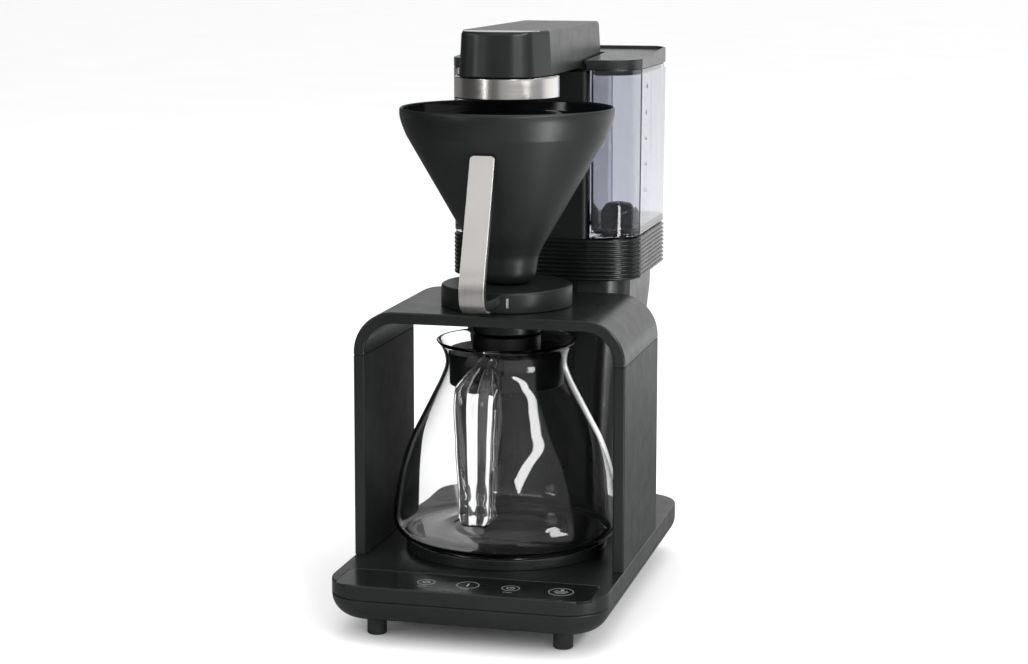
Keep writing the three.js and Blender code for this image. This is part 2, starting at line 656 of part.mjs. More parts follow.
// ---- water tank ---------------------------------------------------------------------------
const VALVE_X = 59.8;
const VALVE_Y = 86;
const SLOT_HALF = COLUMN_HALF + 1;
const SLOT_REAR = COLUMN_REAR_Y + 3;

// A U seen from above, open at the front, wrapping the column. The inset shrinks it all round.
function tankOutline(inset, slotHalf = SLOT_HALF, rearY = TOWER_REAR_Y) {
  return roundedOutline(insetCorners([
    ...towerCorners(TOWER_HALF, TOWER_CREASE_Y, rearY, slotHalf),
    [-slotHalf, SLOT_REAR, 2.5], [slotHalf, SLOT_REAR, 2.5],
  ], inset), 2);
}

const HINGE_R = 1.5;
const HINGE_Y = TOWER_REAR_Y - 6;
const HINGE_Z = LID_Z + 5;
const HINGE_RELIEF = 4; // how far the rear wall stops short, for the lid's edge to swing in
const LUG_X = 50;
const LUG_W = 6;

// A box on each side of the middle, for the two hinge lugs and the notches round them.
function lugBoxes(grow, y0, y1, z0, z1) {
  return [-1, 1].map((side) => {
    const x0 = side * (LUG_X - grow);
    const x1 = side * (LUG_X + LUG_W + grow);
    return box(Math.min(x0, x1), Math.max(x0, x1), y0, y1, z0, z1);
  });
}

function addTank() {
  const floor = TANK_Z + 3;
  const lidTop = LID_Z + LID_T;
  const tub = chained([
    [tankOutline(1.6), TANK_Z], [tankOutline(1), TANK_Z + 1], [tankOutline(0), TANK_TOP],
    [tankOutline(TANK_T), TANK_TOP], [tankOutline(TANK_T + 1), floor],
  ]);
  const rearTop = TANK_TOP - HINGE_RELIEF;
  const relief = box(-TOWER_HALF - 1, TOWER_HALF + 1, HINGE_Y - 8.5, TOWER_REAR_Y + 1, rearTop,
    TANK_TOP + 1);
  const lugs = lugBoxes(0, HINGE_Y - 3.5, TOWER_REAR_Y - 1, rearTop - 6, rearTop - 0.5);
  const lugTops = lugBoxes(0, HINGE_Y - 3.5, HINGE_Y + 3.5, rearTop - 1, HINGE_Z + 2.6);
  const outlet = cylinder(6.5, TANK_Z - 2, floor + 2, VALVE_X, VALVE_Y, 20);
  const bore = cylinder(HINGE_R + GAP, -62, 62, 0, 0, 12);
  bore.rotateY(Math.PI / 2).translate(0, HINGE_Y, HINGE_Z);
  add("water_tank", cut(join(cut(tub, relief), ...lugs, ...lugTops), outlet, bore), smokyPlastic);

  // The seal hangs under the lid as a plug inside the tank's walls, and stops before the hinge.
  const sealRing = (inset, z) => [
    tankOutline(TANK_T + inset, SLOT_HALF, TOWER_REAR_Y - 9), z,
  ];
  const sealZ = TANK_TOP - 4.2;
  add("lid_seal", chained([
    sealRing(1.5, sealZ), sealRing(1.5, LID_Z - GAP), sealRing(4, LID_Z - GAP), sealRing(4, sealZ),
  ], true), rubber);

  // The lid is a slab with a thin rim that rises to the rear and follows its outer edge.
  const lidSlot = COLUMN_HALF - 2.8;
  const lidRing = (inset, z) => [tankOutline(inset, lidSlot), z];
  const rimZ = lidTop - 0.6;
  const slab = chained([
    lidRing(0.5, LID_Z), lidRing(0, LID_Z + 0.8), lidRing(0, rimZ), lidRing(0.6, lidTop),
  ]);
  const edge = towerCorners(TOWER_HALF, TOWER_CREASE_Y, TOWER_REAR_Y, COLUMN_HALF);
  const rimRing = (inset, z) => [roundedOutline(insetCorners(edge, inset), 2), z];
  const rimTop = lidTop + 6;
  const rim = chained([
    rimRing(0, rimZ), rimRing(0, rimTop), rimRing(RIM_T, rimTop), rimRing(RIM_T, rimZ),
  ], true);
  const slope = Math.atan2(RIM_RISE, TOWER_REAR_Y - TOWER_CREASE_Y);
  const above = box(-90, 90, -60, 150, 0, 20).rotateX(slope)
    .translate(0, TOWER_CREASE_Y, lidTop);
  const notches = lugBoxes(0.6, HINGE_Y - 4.5, TOWER_REAR_Y + 1, LID_Z - 1, HINGE_Z + 3.4);
  add("tank_lid", cut(join(slab, cut(rim, above)), bore, ...notches), matteBlack);
  const pin = cylinder(HINGE_R, -60, 60, 0, 0, 12).rotateY(Math.PI / 2);
  add("lid_hinge_pin", tidy(pin.translate(0, HINGE_Y, HINGE_Z)), brightSteel);

  const cageTop = floor + 20.5;
  add("tank_valve_cage", turned([
    [11.5, floor + GAP], [15.1, floor + GAP], [15.1, cageTop - 1.5], [13.6, cageTop],
    [4.2, cageTop], [4.2, cageTop - 2], [11.5, cageTop - 2], [11.5, floor + GAP],
  ], VALVE_X, VALVE_Y, 20), matteBlack);
  add("tank_valve_poppet", turned([
    [0, TANK_Z + 0.6], [3, TANK_Z + 0.6], [3, floor + 0.6], [9.5, floor + 0.6],
    [9.5, floor + 2.6], [3, floor + 2.6], [3, floor + 15], [0, floor + 15],
  ], VALVE_X, VALVE_Y, 16), matteBlack);
  add("tank_valve_spring",
    helix(VALVE_X, VALVE_Y, 6, 0.5, floor + 3.4, cageTop - 2.8, 4), brightSteel);
}

// ---- arm, spout and drive -----------------------------------------------------------------
const ARM_HALF = 36;
const ARM_REAR_HALF = 34;
const ARM_CREASE_Y = AXIS_Y - 4.5;
const ARM_NOSE_Y = AXIS_Y - 44.7;
const ARM_REAR_Y = COLUMN_REAR_Y;

// The arm's outline: sides that close in to the rear, a crease at each side and a blunt nose.
function armOutline(inset, draft) {
  const right = [
    [14, ARM_NOSE_Y + 1.6, 25], [27.5, ARM_NOSE_Y + 6.7, 9], [ARM_HALF, ARM_CREASE_Y, 1],
    [ARM_REAR_HALF, ARM_REAR_Y, 1],
  ];
  const left = right.map(([x, y, r]) => [-x, y, r]).reverse();
  const corners = [[0, ARM_NOSE_Y, 60], ...right, ...left];
  return roundedOutline(insetCorners(corners, inset + draft), 3);
}

const GEAR_MODULE = 1.8;
const SPOUT_TEETH = 24;
const PINION_TEETH = 8;
const GEAR_Z = ARM_Z + 6;
const GEAR_T = 5;
const PINION_Y = AXIS_Y + (GEAR_MODULE * (SPOUT_TEETH + PINION_TEETH)) / 2;

// A spur gear with plain trapezoid teeth, thinned for running clearance.
function gear(teeth, y, turn) {
  const pitchR = (GEAR_MODULE * teeth) / 2;
  const root = pitchR - 1.3 * GEAR_MODULE;
  const tip = pitchR + 0.9 * GEAR_MODULE;
  const step = (2 * Math.PI) / teeth;
  const shape = [];
  for (let i = 0; i < teeth; i++) {
    const a = i * step + turn;
    for (const [r, part] of [[root, -0.3], [tip, -0.1], [tip, 0.1], [root, 0.3]]) {
      shape.push(new THREE.Vector2(r * Math.cos(a + part * step), r * Math.sin(a + part * step)));
    }
  }
  const options = { depth: GEAR_T, bevelEnabled: false };
  const geometry = new THREE.ExtrudeGeometry(new THREE.Shape(shape), options);
  return geometry.translate(0, y, GEAR_Z);
}

function addArm() {
  const wall = ARM_T;
  const shell = chained([
    [armOutline(wall, 2.2), ARM_TOP - wall], [armOutline(wall, 0), ARM_Z],
    [armOutline(0, 0), ARM_Z], [armOutline(0, 1.9), ARM_TOP - 2],
    [armOutline(0, 2.3), ARM_TOP - 0.6], [armOutline(0, 3), ARM_TOP],
  ]);
  add("arm_shell", shell, matteBlack);
  const floorZ = ARM_Z + 0.4;
  const floorOutline = armOutline(wall + GAP + 0.2, 0);
  const underplate = chained([[floorOutline, floorZ], [floorOutline, floorZ + 2.4]]);
  const spoutHole = cylinder(12.5, floorZ - 2, floorZ + 5, 0, AXIS_Y, 24);
  const riserHole = box(-26, -6, 96, 122, floorZ - 2, floorZ + 5);
  add("arm_underplate", cut(underplate, spoutHole, riserHole), matteBlack);
  add("spout_ring", turned([
    [RING_R - 2, RING_Z], [RING_R - 0.6, RING_Z], [RING_R, RING_Z + 0.8],
    [RING_R, ARM_Z - 1.6], [RING_R - 0.8, ARM_Z - GAP], [RING_R - 2, ARM_Z - GAP],
    [RING_R - 2, RING_Z],
  ]), satinSteel);

  // The spout turns over the filter: gear, hub, disc and an off-centre nozzle in one moulding.
  const disc = turned([
    [6, 399], [31, 399], [33, 401], [33, 403], [12, 403], [12, GEAR_Z + 0.5], [16, GEAR_Z + 0.5],
    [16, GEAR_Z + GEAR_T - 0.5], [6, GEAR_Z + GEAR_T - 0.5], [6, 399],
  ]);
  const toothed = cut(gear(SPOUT_TEETH, AXIS_Y, 0),
    cylinder(14, GEAR_Z - 2, GEAR_Z + GEAR_T + 2, 0, AXIS_Y, 24));
  const nozzle = cylinder(4.5, 394.5, 401, 0, AXIS_Y - 22);
  const outletHole = cylinder(2.2, 390, 410, 0, AXIS_Y - 22, 8);
  add("spout_rotor", cut(join(disc, toothed, nozzle), outletHole), matteBlack);
  const shaft = cylinder(2, GEAR_Z - 2, GEAR_Z + GEAR_T + 0.6, 0, PINION_Y);
  add("motor_pinion", join(gear(PINION_TEETH, PINION_Y, Math.PI / PINION_TEETH), shaft), brass);
  add("spout_motor", cylinder(11, GEAR_Z + GEAR_T + 1, ARM_TOP - 5, 0, PINION_Y, 20), darkMetal);
}

// ---- water path and electrics -------------------------------------------------------------
const HEATER_X = -22;
const HEATER_Y = 108;

function addInternals() {
  add("flow_heater", cylinder(19, 74, 176, HEATER_X, HEATER_Y, 20), brightSteel);
  const clamp = cut(cylinder(21, 116, 128, HEATER_X, HEATER_Y, 20),
    cylinder(19 + GAP, 110, 134, HEATER_X, HEATER_Y, 20));
  const strap = box(HEATER_X - 36, HEATER_X - 20.5, HEATER_Y - 4, HEATER_Y + 4, 117, 127);
  add("heater_bracket", join(clamp, strap), darkMetal);
  add("thermal_fuse", box(HEATER_X - 5, HEATER_X + 5, HEATER_Y - 27.5, HEATER_Y - 21.4, 114, 130),
    silicone);
  add("pump", join(cylinder(15, 70, 104, 28, 108, 20), cylinder(9, 66, 70.5, 28, 108, 16),
    cylinder(4, 103, 112, 28, 108, 12)), matteBlack);
  add("riser_tube", swept([
    [HEATER_X + 4, HEATER_Y, 177], [HEATER_X + 5, HEATER_Y, 220], [-16, HEATER_Y, 300],
    [-16, HEATER_Y, 400], [-17, 96, 426], [-17, 60, 432], [-17, 0, 432], [-16, -30, 432],
    [-6, AXIS_Y + 4, 429], [0, AXIS_Y, 423],
  ], circleSection(3.2, 6), 24), silicone);
  add("supply_hose", swept([
    [VALVE_X, VALVE_Y, COLLAR_TOP - 4], [VALVE_X, VALVE_Y, 240], [46, 108, 200], [32, 108, 160],
    [28, 108, 130], [28, 108, 112.5],
  ], circleSection(4.2, 6), 16), silicone);
  add("control_board", box(-46, 40, 84.5, 86.1, 130, 196), boardGreen);
}

addBase();
addArch();
addDripStop();
addFilterHolder();
addJug();
addJugLid();
addTower();
addTank();
addArm();
addInternals();

export default brewer;
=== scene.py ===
"""Pour-over coffee brewer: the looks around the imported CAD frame.

Lengths in the shape code are millimetres in the row's frame (+Z up, -Y towards the user), and
every mesh is written in metres. The camera, the floor and the lights are placed in metres. Each
piece is a mesh of its own that rides on a CAD body.
"""

from math import acos, copysign, cos, exp, hypot, pi, radians, sin, sqrt, tan

import bmesh
import bpy
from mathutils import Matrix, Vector


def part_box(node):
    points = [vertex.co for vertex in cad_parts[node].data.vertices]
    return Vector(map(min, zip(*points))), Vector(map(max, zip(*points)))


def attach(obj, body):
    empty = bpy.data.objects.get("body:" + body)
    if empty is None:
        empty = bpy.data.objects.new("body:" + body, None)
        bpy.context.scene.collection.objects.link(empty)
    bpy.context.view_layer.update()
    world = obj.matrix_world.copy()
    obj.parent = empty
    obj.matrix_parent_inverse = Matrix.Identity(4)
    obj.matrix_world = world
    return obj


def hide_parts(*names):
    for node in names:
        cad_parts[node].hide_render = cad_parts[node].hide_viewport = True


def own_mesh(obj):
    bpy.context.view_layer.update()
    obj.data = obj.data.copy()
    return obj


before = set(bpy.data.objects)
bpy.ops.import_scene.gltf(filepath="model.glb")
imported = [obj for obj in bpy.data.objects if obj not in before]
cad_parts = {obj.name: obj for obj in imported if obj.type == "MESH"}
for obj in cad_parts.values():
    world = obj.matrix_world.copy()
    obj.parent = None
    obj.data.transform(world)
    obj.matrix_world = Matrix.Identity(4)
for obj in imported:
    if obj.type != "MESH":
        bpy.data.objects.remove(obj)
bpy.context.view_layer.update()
scene = bpy.context.scene

MM = 0.001
AXIS_Y = -51.5  # jug, cone, drip stop and spout all stand on this axis
HALF = 105.0
FRONT_Y, PLATE_REAR_Y = -193.5, 137.5


def new_object(name, data):
    obj = bpy.data.objects.new(name, data)
    scene.collection.objects.link(obj)
    return obj


# ---- camera ----
PHOTO_W, PHOTO_H = 1028, 664
FOCAL_PX = 2279.5
LENS_AXIS_PX = (495.35, 249.42)
SENSOR_MM = 36
DOWN_DEG, LEFT_DEG = 7.95, 14.52
camera_data = bpy.data.cameras.new("camera")
camera_data.sensor_fit = "HORIZONTAL"
camera_data.sensor_width = SENSOR_MM
camera_data.lens = FOCAL_PX / PHOTO_W * SENSOR_MM
camera_data.shift_x = (PHOTO_W / 2 - LENS_AXIS_PX[0]) / PHOTO_W
camera_data.shift_y = -(PHOTO_H / 2 - LENS_AXIS_PX[1]) / PHOTO_W
camera_data.clip_end = 200
camera = new_object("camera", camera_data)
camera.location = (0.4259, -1.7312, 0.5173)
camera.rotation_euler = (radians(90 - DOWN_DEG), 0, radians(LEFT_DEG))
scene.camera = camera


# ---- materials ----
class Tree:
    """A node tree, with short calls to add nodes to it."""

    def __init__(self, tree):
        self.tree = tree

    def add(self, kind, inputs=None, **settings):
        """A new shader node. Each of its inputs takes a value, or a link from another node."""
        node = self.tree.nodes.new("ShaderNode" + kind)
        for key, value in settings.items():
            setattr(node, key, value)
        for key, value in (inputs or {}).items():
            if isinstance(value, bpy.types.NodeSocket):
                self.tree.links.new(value, node.inputs[key])
            else:
                node.inputs[key].default_value = value
        return node

    def maths(self, operation, a, b):
        return self.add("Math", {0: a, 1: b}, operation=operation).outputs[0]

    def mirrored(self):
        """1 for what is seen in a reflection, 0 for what lights or shows directly."""
        rays = self.add("LightPath").outputs
        diffuse = self.maths("MULTIPLY", rays["Is Diffuse Ray"], 9.0)
        return self.maths(
            "GREATER_THAN", self.maths("SUBTRACT", rays["Glossy Depth"], diffuse), 0.5)


class Nodes(Tree):
    """A material's node tree with its Principled shader."""

    def __init__(self, name):
        self.material = bpy.data.materials.new(name)
        self.material.use_nodes = True
        super().__init__(self.material.node_tree)
        self.shader = self.tree.nodes["Principled BSDF"]
        self.place = self.add("TexCoord").outputs["Object"]

    def stretched(self, scale):
        """The place in the row frame, in metres, with each axis scaled by itself."""
        return self.add("Mapping", {"Scale": scale, "Vector": self.place}).outputs["Vector"]

    def noise(self, scale, detail=3, rough=0.5, place=None):
        return self.add("TexNoise", {
            "Scale": scale, "Detail": detail, "Roughness": rough,
            "Vector": place or self.place}).outputs["Fac"]

    def spread(self, value, low, high, to_low, to_high):
        return self.add("MapRange", {
            "From Min": low, "From Max": high, "To Min": to_low, "To Max": to_high,
            "Value": value}).outputs["Result"]

    def mix(self, factor, a, b):
        a, b = (v if isinstance(v, bpy.types.NodeSocket) else (*v, 1) for v in (a, b))
        return self.add("Mix", {"Factor": factor, 6: a, 7: b}, data_type="RGBA").outputs[2]

    def bump(self, height, strength, distance, under=None):
        inputs = {"Strength": strength, "Distance": distance, "Height": height}
        if under:
            inputs["Normal"] = under
        return self.add("Bump", inputs).outputs["Normal"]

    def finish(self, colour=None, roughness=None, normal=None, **sockets):
        for socket, value in (("Base Color", colour), ("Roughness", roughness), ("Normal", normal)):
            if value is not None:
                self.tree.links.new(value, self.shader.inputs[socket])
        for key, value in sockets.items():
            self.shader.inputs[key.replace("_", " ")].default_value = value
        return self.material


def moulded(name, colour, rough, level=0.5, grain=1500, depth=0.10):
    """Moulded plastic: fine spark-eroded grain, soft sheen patches and lighter edges, partly wear
    and partly a painted highlight.
    """
    n = Nodes(name)
    patch = n.noise(14, 4, 0.6)
    smudge = n.noise(70, 5, 0.7)
    fine = n.noise(grain, 2, 0.6)
    dark = [c * 0.82 for c in colour]
    light = [c * 1.22 + 0.001 for c in colour]
    base = n.mix(n.spread(patch, 0.35, 0.65, 0, 1), dark, light)
    # Convex edges are lightened: partly wear, partly a painted edge highlight.
    edge = n.spread(n.add("NewGeometry").outputs["Pointiness"], 0.52, 0.62, 0, 0.5)
    worn_and_highlit = [c * 1.6 + 0.012 for c in colour]
    base = n.mix(edge, base, worn_and_highlit)
    roughness = n.spread(smudge, 0.3, 0.7, rough - 0.04, rough + 0.05)
    normal = n.bump(fine, depth, 0.00006)
    normal = n.bump(patch, 0.05, 0.0003, under=normal)
    return n.finish(base, roughness, normal, Specular_IOR_Level=level)


def glossy(name, colour, rough, level=0.5):
    """Polished black plastic or ceramic glass with faint wipe marks and dust specks."""
    n = Nodes(name)
    wipe = n.noise(1, 5, 0.7, place=n.stretched((30, 140, 60)))
    dust = n.noise(900, 2, 0.5)
    specks = n.spread(dust, 0.74, 0.8, 0, 0.25)
    base = n.mix(specks, colour, [c + 0.05 for c in colour])
    roughness = n.spread(wipe, 0.35, 0.75, rough, rough + 0.09)
    normal = n.bump(n.noise(22, 2, 0.5), 0.06, 0.0004)
    return n.finish(base, roughness, normal, Specular_IOR_Level=level)


def brushed(name, colour, rough, stretch):
    """Brushed metal: long fine scratches across `stretch`, with a slow change of tone."""
    n = Nodes(name)
    lines = n.noise(1, 4, 0.75, place=n.stretched(stretch))
    tone = n.noise(25, 3, 0.5)
    dark = [c * 0.86 for c in colour]
    base = n.mix(n.spread(lines, 0.3, 0.7, 0, 1), dark, colour)
    base = n.mix(n.spread(tone, 0.4, 0.7, 0, 0.35), base, [c * 1.06 for c in colour])
    roughness = n.spread(lines, 0.3, 0.7, rough - 0.05, rough + 0.07)
    return n.finish(base, roughness, n.bump(lines, 0.06, 0.00005), Metallic=1.0)


def glass(name, colour, rough, ior, ripple):
    """Clear pressed glass or plastic: slow ripples in the wall and a trace of haze."""
    n = Nodes(name)
    haze = n.noise(60, 3, 0.6)
    base = n.mix(n.spread(haze, 0.35, 0.7, 0, 1), colour, [min(1, c * 1.02) for c in colour])
    roughness = n.spread(haze, 0.45, 0.8, rough, rough + 0.025)
    normal = n.bump(n.noise(1, 2, 0.4, place=n.stretched((26, 26, 9))), ripple, 0.002)
    return n.finish(base, roughness, normal, Transmission_Weight=1.0, IOR=ior)


def rubbery(name, colour):
    """Matt rubber with a fine grain and a little dust."""
    n = Nodes(name)
    grain = n.noise(700, 4, 0.7)
    dusty = n.noise(40, 4, 0.6)
    base = n.mix(n.spread(dusty, 0.4, 0.7, 0, 1), colour, [c * 1.5 + 0.008 for c in colour])
    roughness = n.spread(grain, 0.3, 0.7, 0.42, 0.62)
    return n.finish(base, roughness, n.bump(grain, 0.25, 0.0001), Specular_IOR_Level=0.4)


def printed(name, colour):
    """Screen-printed ink, a little patchy and matt."""
    n = Nodes(name)
    patchy = n.noise(1600, 3, 0.7)
    base = n.mix(n.spread(patchy, 0.3, 0.8, 0, 1), colour, [c * 0.8 for c in colour])
    return n.finish(base, n.spread(patchy, 0.2, 0.8, 0.4, 0.6))


BLACK = (0.0064, 0.0080, 0.0075)
mat_tray = moulded("tray_moulding", BLACK, 0.36, level=0.42)
mat_deck = moulded("deck_moulding", BLACK, 0.31, level=0.45)
mat_arch = moulded("arch_moulding", BLACK, 0.30, level=0.5)
mat_post = moulded("post_moulding", BLACK, 0.38, level=0.26)
mat_cone = moulded("cone_moulding", (0.0052, 0.0065, 0.0060), 0.38, level=0.45, grain=1900)
mat_drum = moulded("drum_moulding", (0.0050, 0.0062, 0.0058), 0.36, level=0.42)
mat_tower = moulded("tower_moulding", (0.0052, 0.0066, 0.0061), 0.30, level=0.5)
mat_collar = moulded("collar_moulding", (0.0040, 0.0050, 0.0047), 0.23, level=0.5, depth=0.04)
mat_column = moulded("column_moulding", (0.0036, 0.0045, 0.0042), 0.36, level=0.3)
mat_arm = moulded("arm_moulding", (0.0062, 0.0077, 0.0072), 0.31, level=0.5)
mat_lid = moulded("tank_lid_moulding", (0.0055, 0.0068, 0.0064), 0.25, level=0.5)
mat_jug_lid = moulded("jug_lid_moulding", (0.0040, 0.0045, 0.0045), 0.36, level=0.35)
mat_outlet = moulded("outlet_moulding", (0.0045, 0.0053, 0.0051), 0.36, level=0.4)
mat_core = moulded("handle_core_moulding", (0.0045, 0.0053, 0.0051), 0.3, level=0.4)
mat_cage = moulded("valve_cage_moulding", (0.0030, 0.0030, 0.0055), 0.28, level=0.4)
mat_inner = moulded("inner_moulding", (0.0060, 0.0068, 0.0068), 0.4, level=0.4)
mat_liner = glossy("liner_gloss", (0.004, 0.0045, 0.0055), 0.06)
mat_panel = glossy("panel_glass", (0.0055, 0.0065, 0.0065), 0.16, level=0.4)
mat_hotplate = glossy("hotplate_glass", (0.004, 0.0045, 0.005), 0.07)
mat_hot_ring = moulded("hotplate_ring_moulding", (0.009, 0.010, 0.010), 0.3, level=0.4)
mat_strip = brushed("strip_steel", (0.74, 0.715, 0.695), 0.34, (2600, 60, 30))
mat_ring = brushed("ring_steel", (0.93, 0.905, 0.88), 0.2, (30, 30, 2400))
mat_badge = brushed("badge_metal", (0.90, 0.89, 0.87), 0.26, (40, 1800, 40))
mat_bright = brushed("bright_steel", (0.62, 0.63, 0.64), 0.2, (900, 900, 200))
mat_dark_metal = brushed("dark_steel", (0.15, 0.155, 0.16), 0.42, (400, 400, 900))
mat_brass = brushed("pinion_brass", (0.62, 0.43, 0.18), 0.3, (700, 700, 900))
mat_rubber = rubbery("foot_rubber", (0.012, 0.013, 0.013))
mat_seal = rubbery("seal_rubber", (0.006, 0.006, 0.007))
mat_silicone = rubbery("silicone", (0.55, 0.55, 0.52))
mat_glass = glass("jug_glass", (0.981, 0.983, 0.987), 0.0, 1.47, 0.05)
mat_smoky = glass("smoky_tank", (0.70, 0.71, 0.77), 0.015, 1.49, 0.12)
mat_ink = printed("white_ink", (0.34, 0.35, 0.35))
mat_scale = printed("scale_ink", (0.12, 0.12, 0.15))
mat_line = printed("panel_line_ink", (0.10, 0.11, 0.11))
mat_mark = printed("mark_ink", (0.27, 0.28, 0.27))
mat_board = printed("board_green", (0.02, 0.09, 0.035))


# ---- shapes ----
def build(name, verts, faces, sharp=38, weighted=True):
    """A mesh object from points in millimetres, smooth except over sharp edges."""
    mesh = bpy.data.meshes.new(name)
    mesh.from_pydata([(x * MM, y * MM, z * MM) for x, y, z in verts], [], faces)
    mesh.validate()
    soup = bmesh.new()
    soup.from_mesh(mesh)
    bmesh.ops.remove_doubles(soup, verts=soup.verts, dist=1e-7)
    bmesh.ops.recalc_face_normals(soup, faces=soup.faces)
    soup.to_mesh(mesh)
    soup.free()
    obj = new_object(name, mesh)
    smooth(obj, sharp, weighted)
    return obj


def smooth(obj, sharp=38, weighted=True):
    """Smooth shading, except over edges that turn by more than `sharp` degrees."""
    obj.data.shade_smooth()
    obj.data.set_sharp_from_angle(angle=radians(sharp))
    if weighted and not obj.modifiers:
        modifier = obj.modifiers.new("face_weight", "WEIGHTED_NORMAL")
        modifier.keep_sharp = True


def filleted(points, closed=False, steps=5):
    """Points (a, b) or (a, b, radius): a corner that has a radius is rounded off."""
    out = []
    count = len(points)
    for i, point in enumerate(points):
        r = point[2] if len(point) > 2 else 0
        here = Vector(point[:2])
        if not r or (not closed and i in (0, count - 1)):
            out.append((here.x, here.y))
            continue
        back = Vector(points[i - 1][:2]) - here
        ahead = Vector(points[(i + 1) % count][:2]) - here
        room = min(back.length, ahead.length) * 0.499
        back.normalize()
        ahead.normalize()
        half = max(acos(max(-1, min(1, back.dot(ahead)))) / 2, 1e-4)
        reach = r / tan(half)
        if reach > room:
            r, reach = r * room / reach, room
        middle = (back + ahead).normalized()
        centre = here + middle * (r / sin(half))
        start, end = here + back * reach - centre, here + ahead * reach - centre
        turn = start.angle_signed(end)
        for k in range(steps + 1):
            angle = -turn * k / steps
            c, s = cos(angle), sin(angle)
            out.append((centre.x + start.x * c - start.y * s, centre.y + start.x * s + start.y * c))
    return out


def curved(points, per=8):
    """A smooth centripetal curve through points of any dimension, ends kept."""
    pts = [Vector(p) for p in points]
    pts = [2 * pts[0] - pts[1], *pts, 2 * pts[-1] - pts[-2]]
    out = []
    for i in range(1, len(pts) - 2):
        p0, p1, p2, p3 = pts[i - 1:i + 3]
        t0 = 0.0
        t1 = t0 + max((p1 - p0).length, 1e-6) ** 0.5
        t2 = t1 + max((p2 - p1).length, 1e-6) ** 0.5
        t3 = t2 + max((p3 - p2).length, 1e-6) ** 0.5
        for k in range(per):
            t = t1 + (t2 - t1) * k / per
            a1 = p0 * ((t1 - t) / (t1 - t0)) + p1 * ((t - t0) / (t1 - t0))
            a2 = p1 * ((t2 - t) / (t2 - t1)) + p2 * ((t - t1) / (t2 - t1))
            a3 = p2 * ((t3 - t) / (t3 - t2)) + p3 * ((t - t2) / (t3 - t2))
            b1 = a1 * ((t2 - t) / (t2 - t0)) + a2 * ((t - t0) / (t2 - t0))
            b2 = a2 * ((t3 - t) / (t3 - t1)) + a3 * ((t - t1) / (t3 - t1))
            out.append(tuple(b1 * ((t2 - t) / (t2 - t1)) + b2 * ((t - t1) / (t2 - t1))))
    out.append(tuple(pts[-2]))
    return out


def lathe(name, profile, x=0.0, y=AXIS_Y, sides=96, sharp=38, closed=False, weighted=True):
    """A solid of revolution about a vertical axis from (radius, height) points."""
    verts, rows = [], []
    for r, z in profile:
        if r < 1e-6:
            rows.append([len(verts)])
            verts.append((x, y, z))
            continue
        rows.append(list(range(len(verts), len(verts) + sides)))
        for i in range(sides):
            a = 2 * pi * i / sides
            verts.append((x + r * cos(a), y + r * sin(a), z))
    faces = []
    pairs = list(zip(rows, rows[1:])) + ([(rows[-1], rows[0])] if closed else [])
    for low, high in pairs:
        for i in range(sides):
            j = (i + 1) % sides
            ring = [low[i % len(low)], low[j % len(low)], high[j % len(high)], high[i % len(high)]]
            ring = list(dict.fromkeys(ring))
            if len(ring) > 2:
                faces.append(ring)
    return build(name, verts, faces, sharp, weighted)


def rod(name, r, z0, z1, *place_at, **kw):
    """A plain cylinder to cut with."""
    return lathe(name, [(0, z0), (r, z0), (r, z1), (0, z1)], *place_at, **kw)


def rings_to_mesh(name, rings, closed=False, sharp=38, weighted=True):
    """Joins rings of equally many 3-D points, capped at both ends or run back to the first."""
    count = len(rings[0])
    verts = [p for ring in rings for p in ring]
    faces = []
    for k in range(len(rings) if closed else len(rings) - 1):
        low, high = k * count, (k + 1) % len(rings) * count
        for i in range(count):
            j = (i + 1) % count
            faces.append([low + i, low + j, high + j, high + i])
    if not closed:
        faces.append(list(range(count))[::-1])
        faces.append([(len(rings) - 1) * count + i for i in range(count)])
    return build(name, verts, faces, sharp, weighted)


def stacked(name, outline, profile, closed=False, **kw):
    """outline(inset) gives plan points. profile is a list of (inset, height)."""
    rings = [[(x, y, z) for x, y in outline(inset)] for inset, z in profile]
    return rings_to_mesh(name, rings, closed, **kw)


def rect(x0, x1, y0, y1, r, steps=10):
    return filleted([(x0, y0, r), (x1, y0, r), (x1, y1, r), (x0, y1, r)], True, steps)


def rect_outline(x0, x1, y0, y1, r, steps=10):
    """An outline function: the rectangle, moved inwards by its inset."""
    least = 0.15
    return lambda inset: rect(
        x0 + inset, x1 - inset, y0 + inset, y1 - inset, max(r - inset, least), steps)


def both_sides(right):
    """Corners of the right half from front to rear, then their mirror images."""
    return right + [(-x, y, r) for x, y, r in reversed(right)]


def moved(obj, rule):
    """The object with its points, in metres, sent through rule(x, y, z)."""
    for vertex in obj.data.vertices:
        vertex.co = rule(*vertex.co)
    return obj


def block(name, x0, x1, y0, y1, z0, z1, r=0.6, edge=0.3):
    """A small slab with rounded corners and edges."""
    profile = filleted([(edge * 3, z0), (0, z0, edge), (0, z1, edge), (edge * 3, z1)], steps=3)
    return stacked(name, rect_outline(x0, x1, y0, y1, r, 4), profile)


def bar(name, centres, section, sharp=38):
    """Sections swept along a curve in the plane x = 0. section(s) gives (x, depth) points."""
    rings = []
    count = len(centres)
    for k, (y, z) in enumerate(centres):
        before, after = centres[max(k - 1, 0)], centres[min(k + 1, count - 1)]
        ty, tz = after[0] - before[0], after[1] - before[1]
        size = hypot(ty, tz)
        ny, nz = -tz / size, ty / size
        rings.append([(x, y + ny * d, z + nz * d) for x, d in section(k / (count - 1))])
    return rings_to_mesh(name, rings, sharp=sharp)


def evenly(points, count):
    """The same line with points at equal spacing."""
    pts = [Vector(p) for p in points]
    lengths = [0.0]
    for a, b in zip(pts, pts[1:]):
        lengths.append(lengths[-1] + (b - a).length)
    out, j = [], 0
    for k in range(count):
        want = lengths[-1] * k / (count - 1)
        while j < len(pts) - 2 and lengths[j + 1] < want:
            j += 1
        t = (want - lengths[j]) / (lengths[j + 1] - lengths[j])
        out.append(tuple(pts[j].lerp(pts[j + 1], t)))
    return out


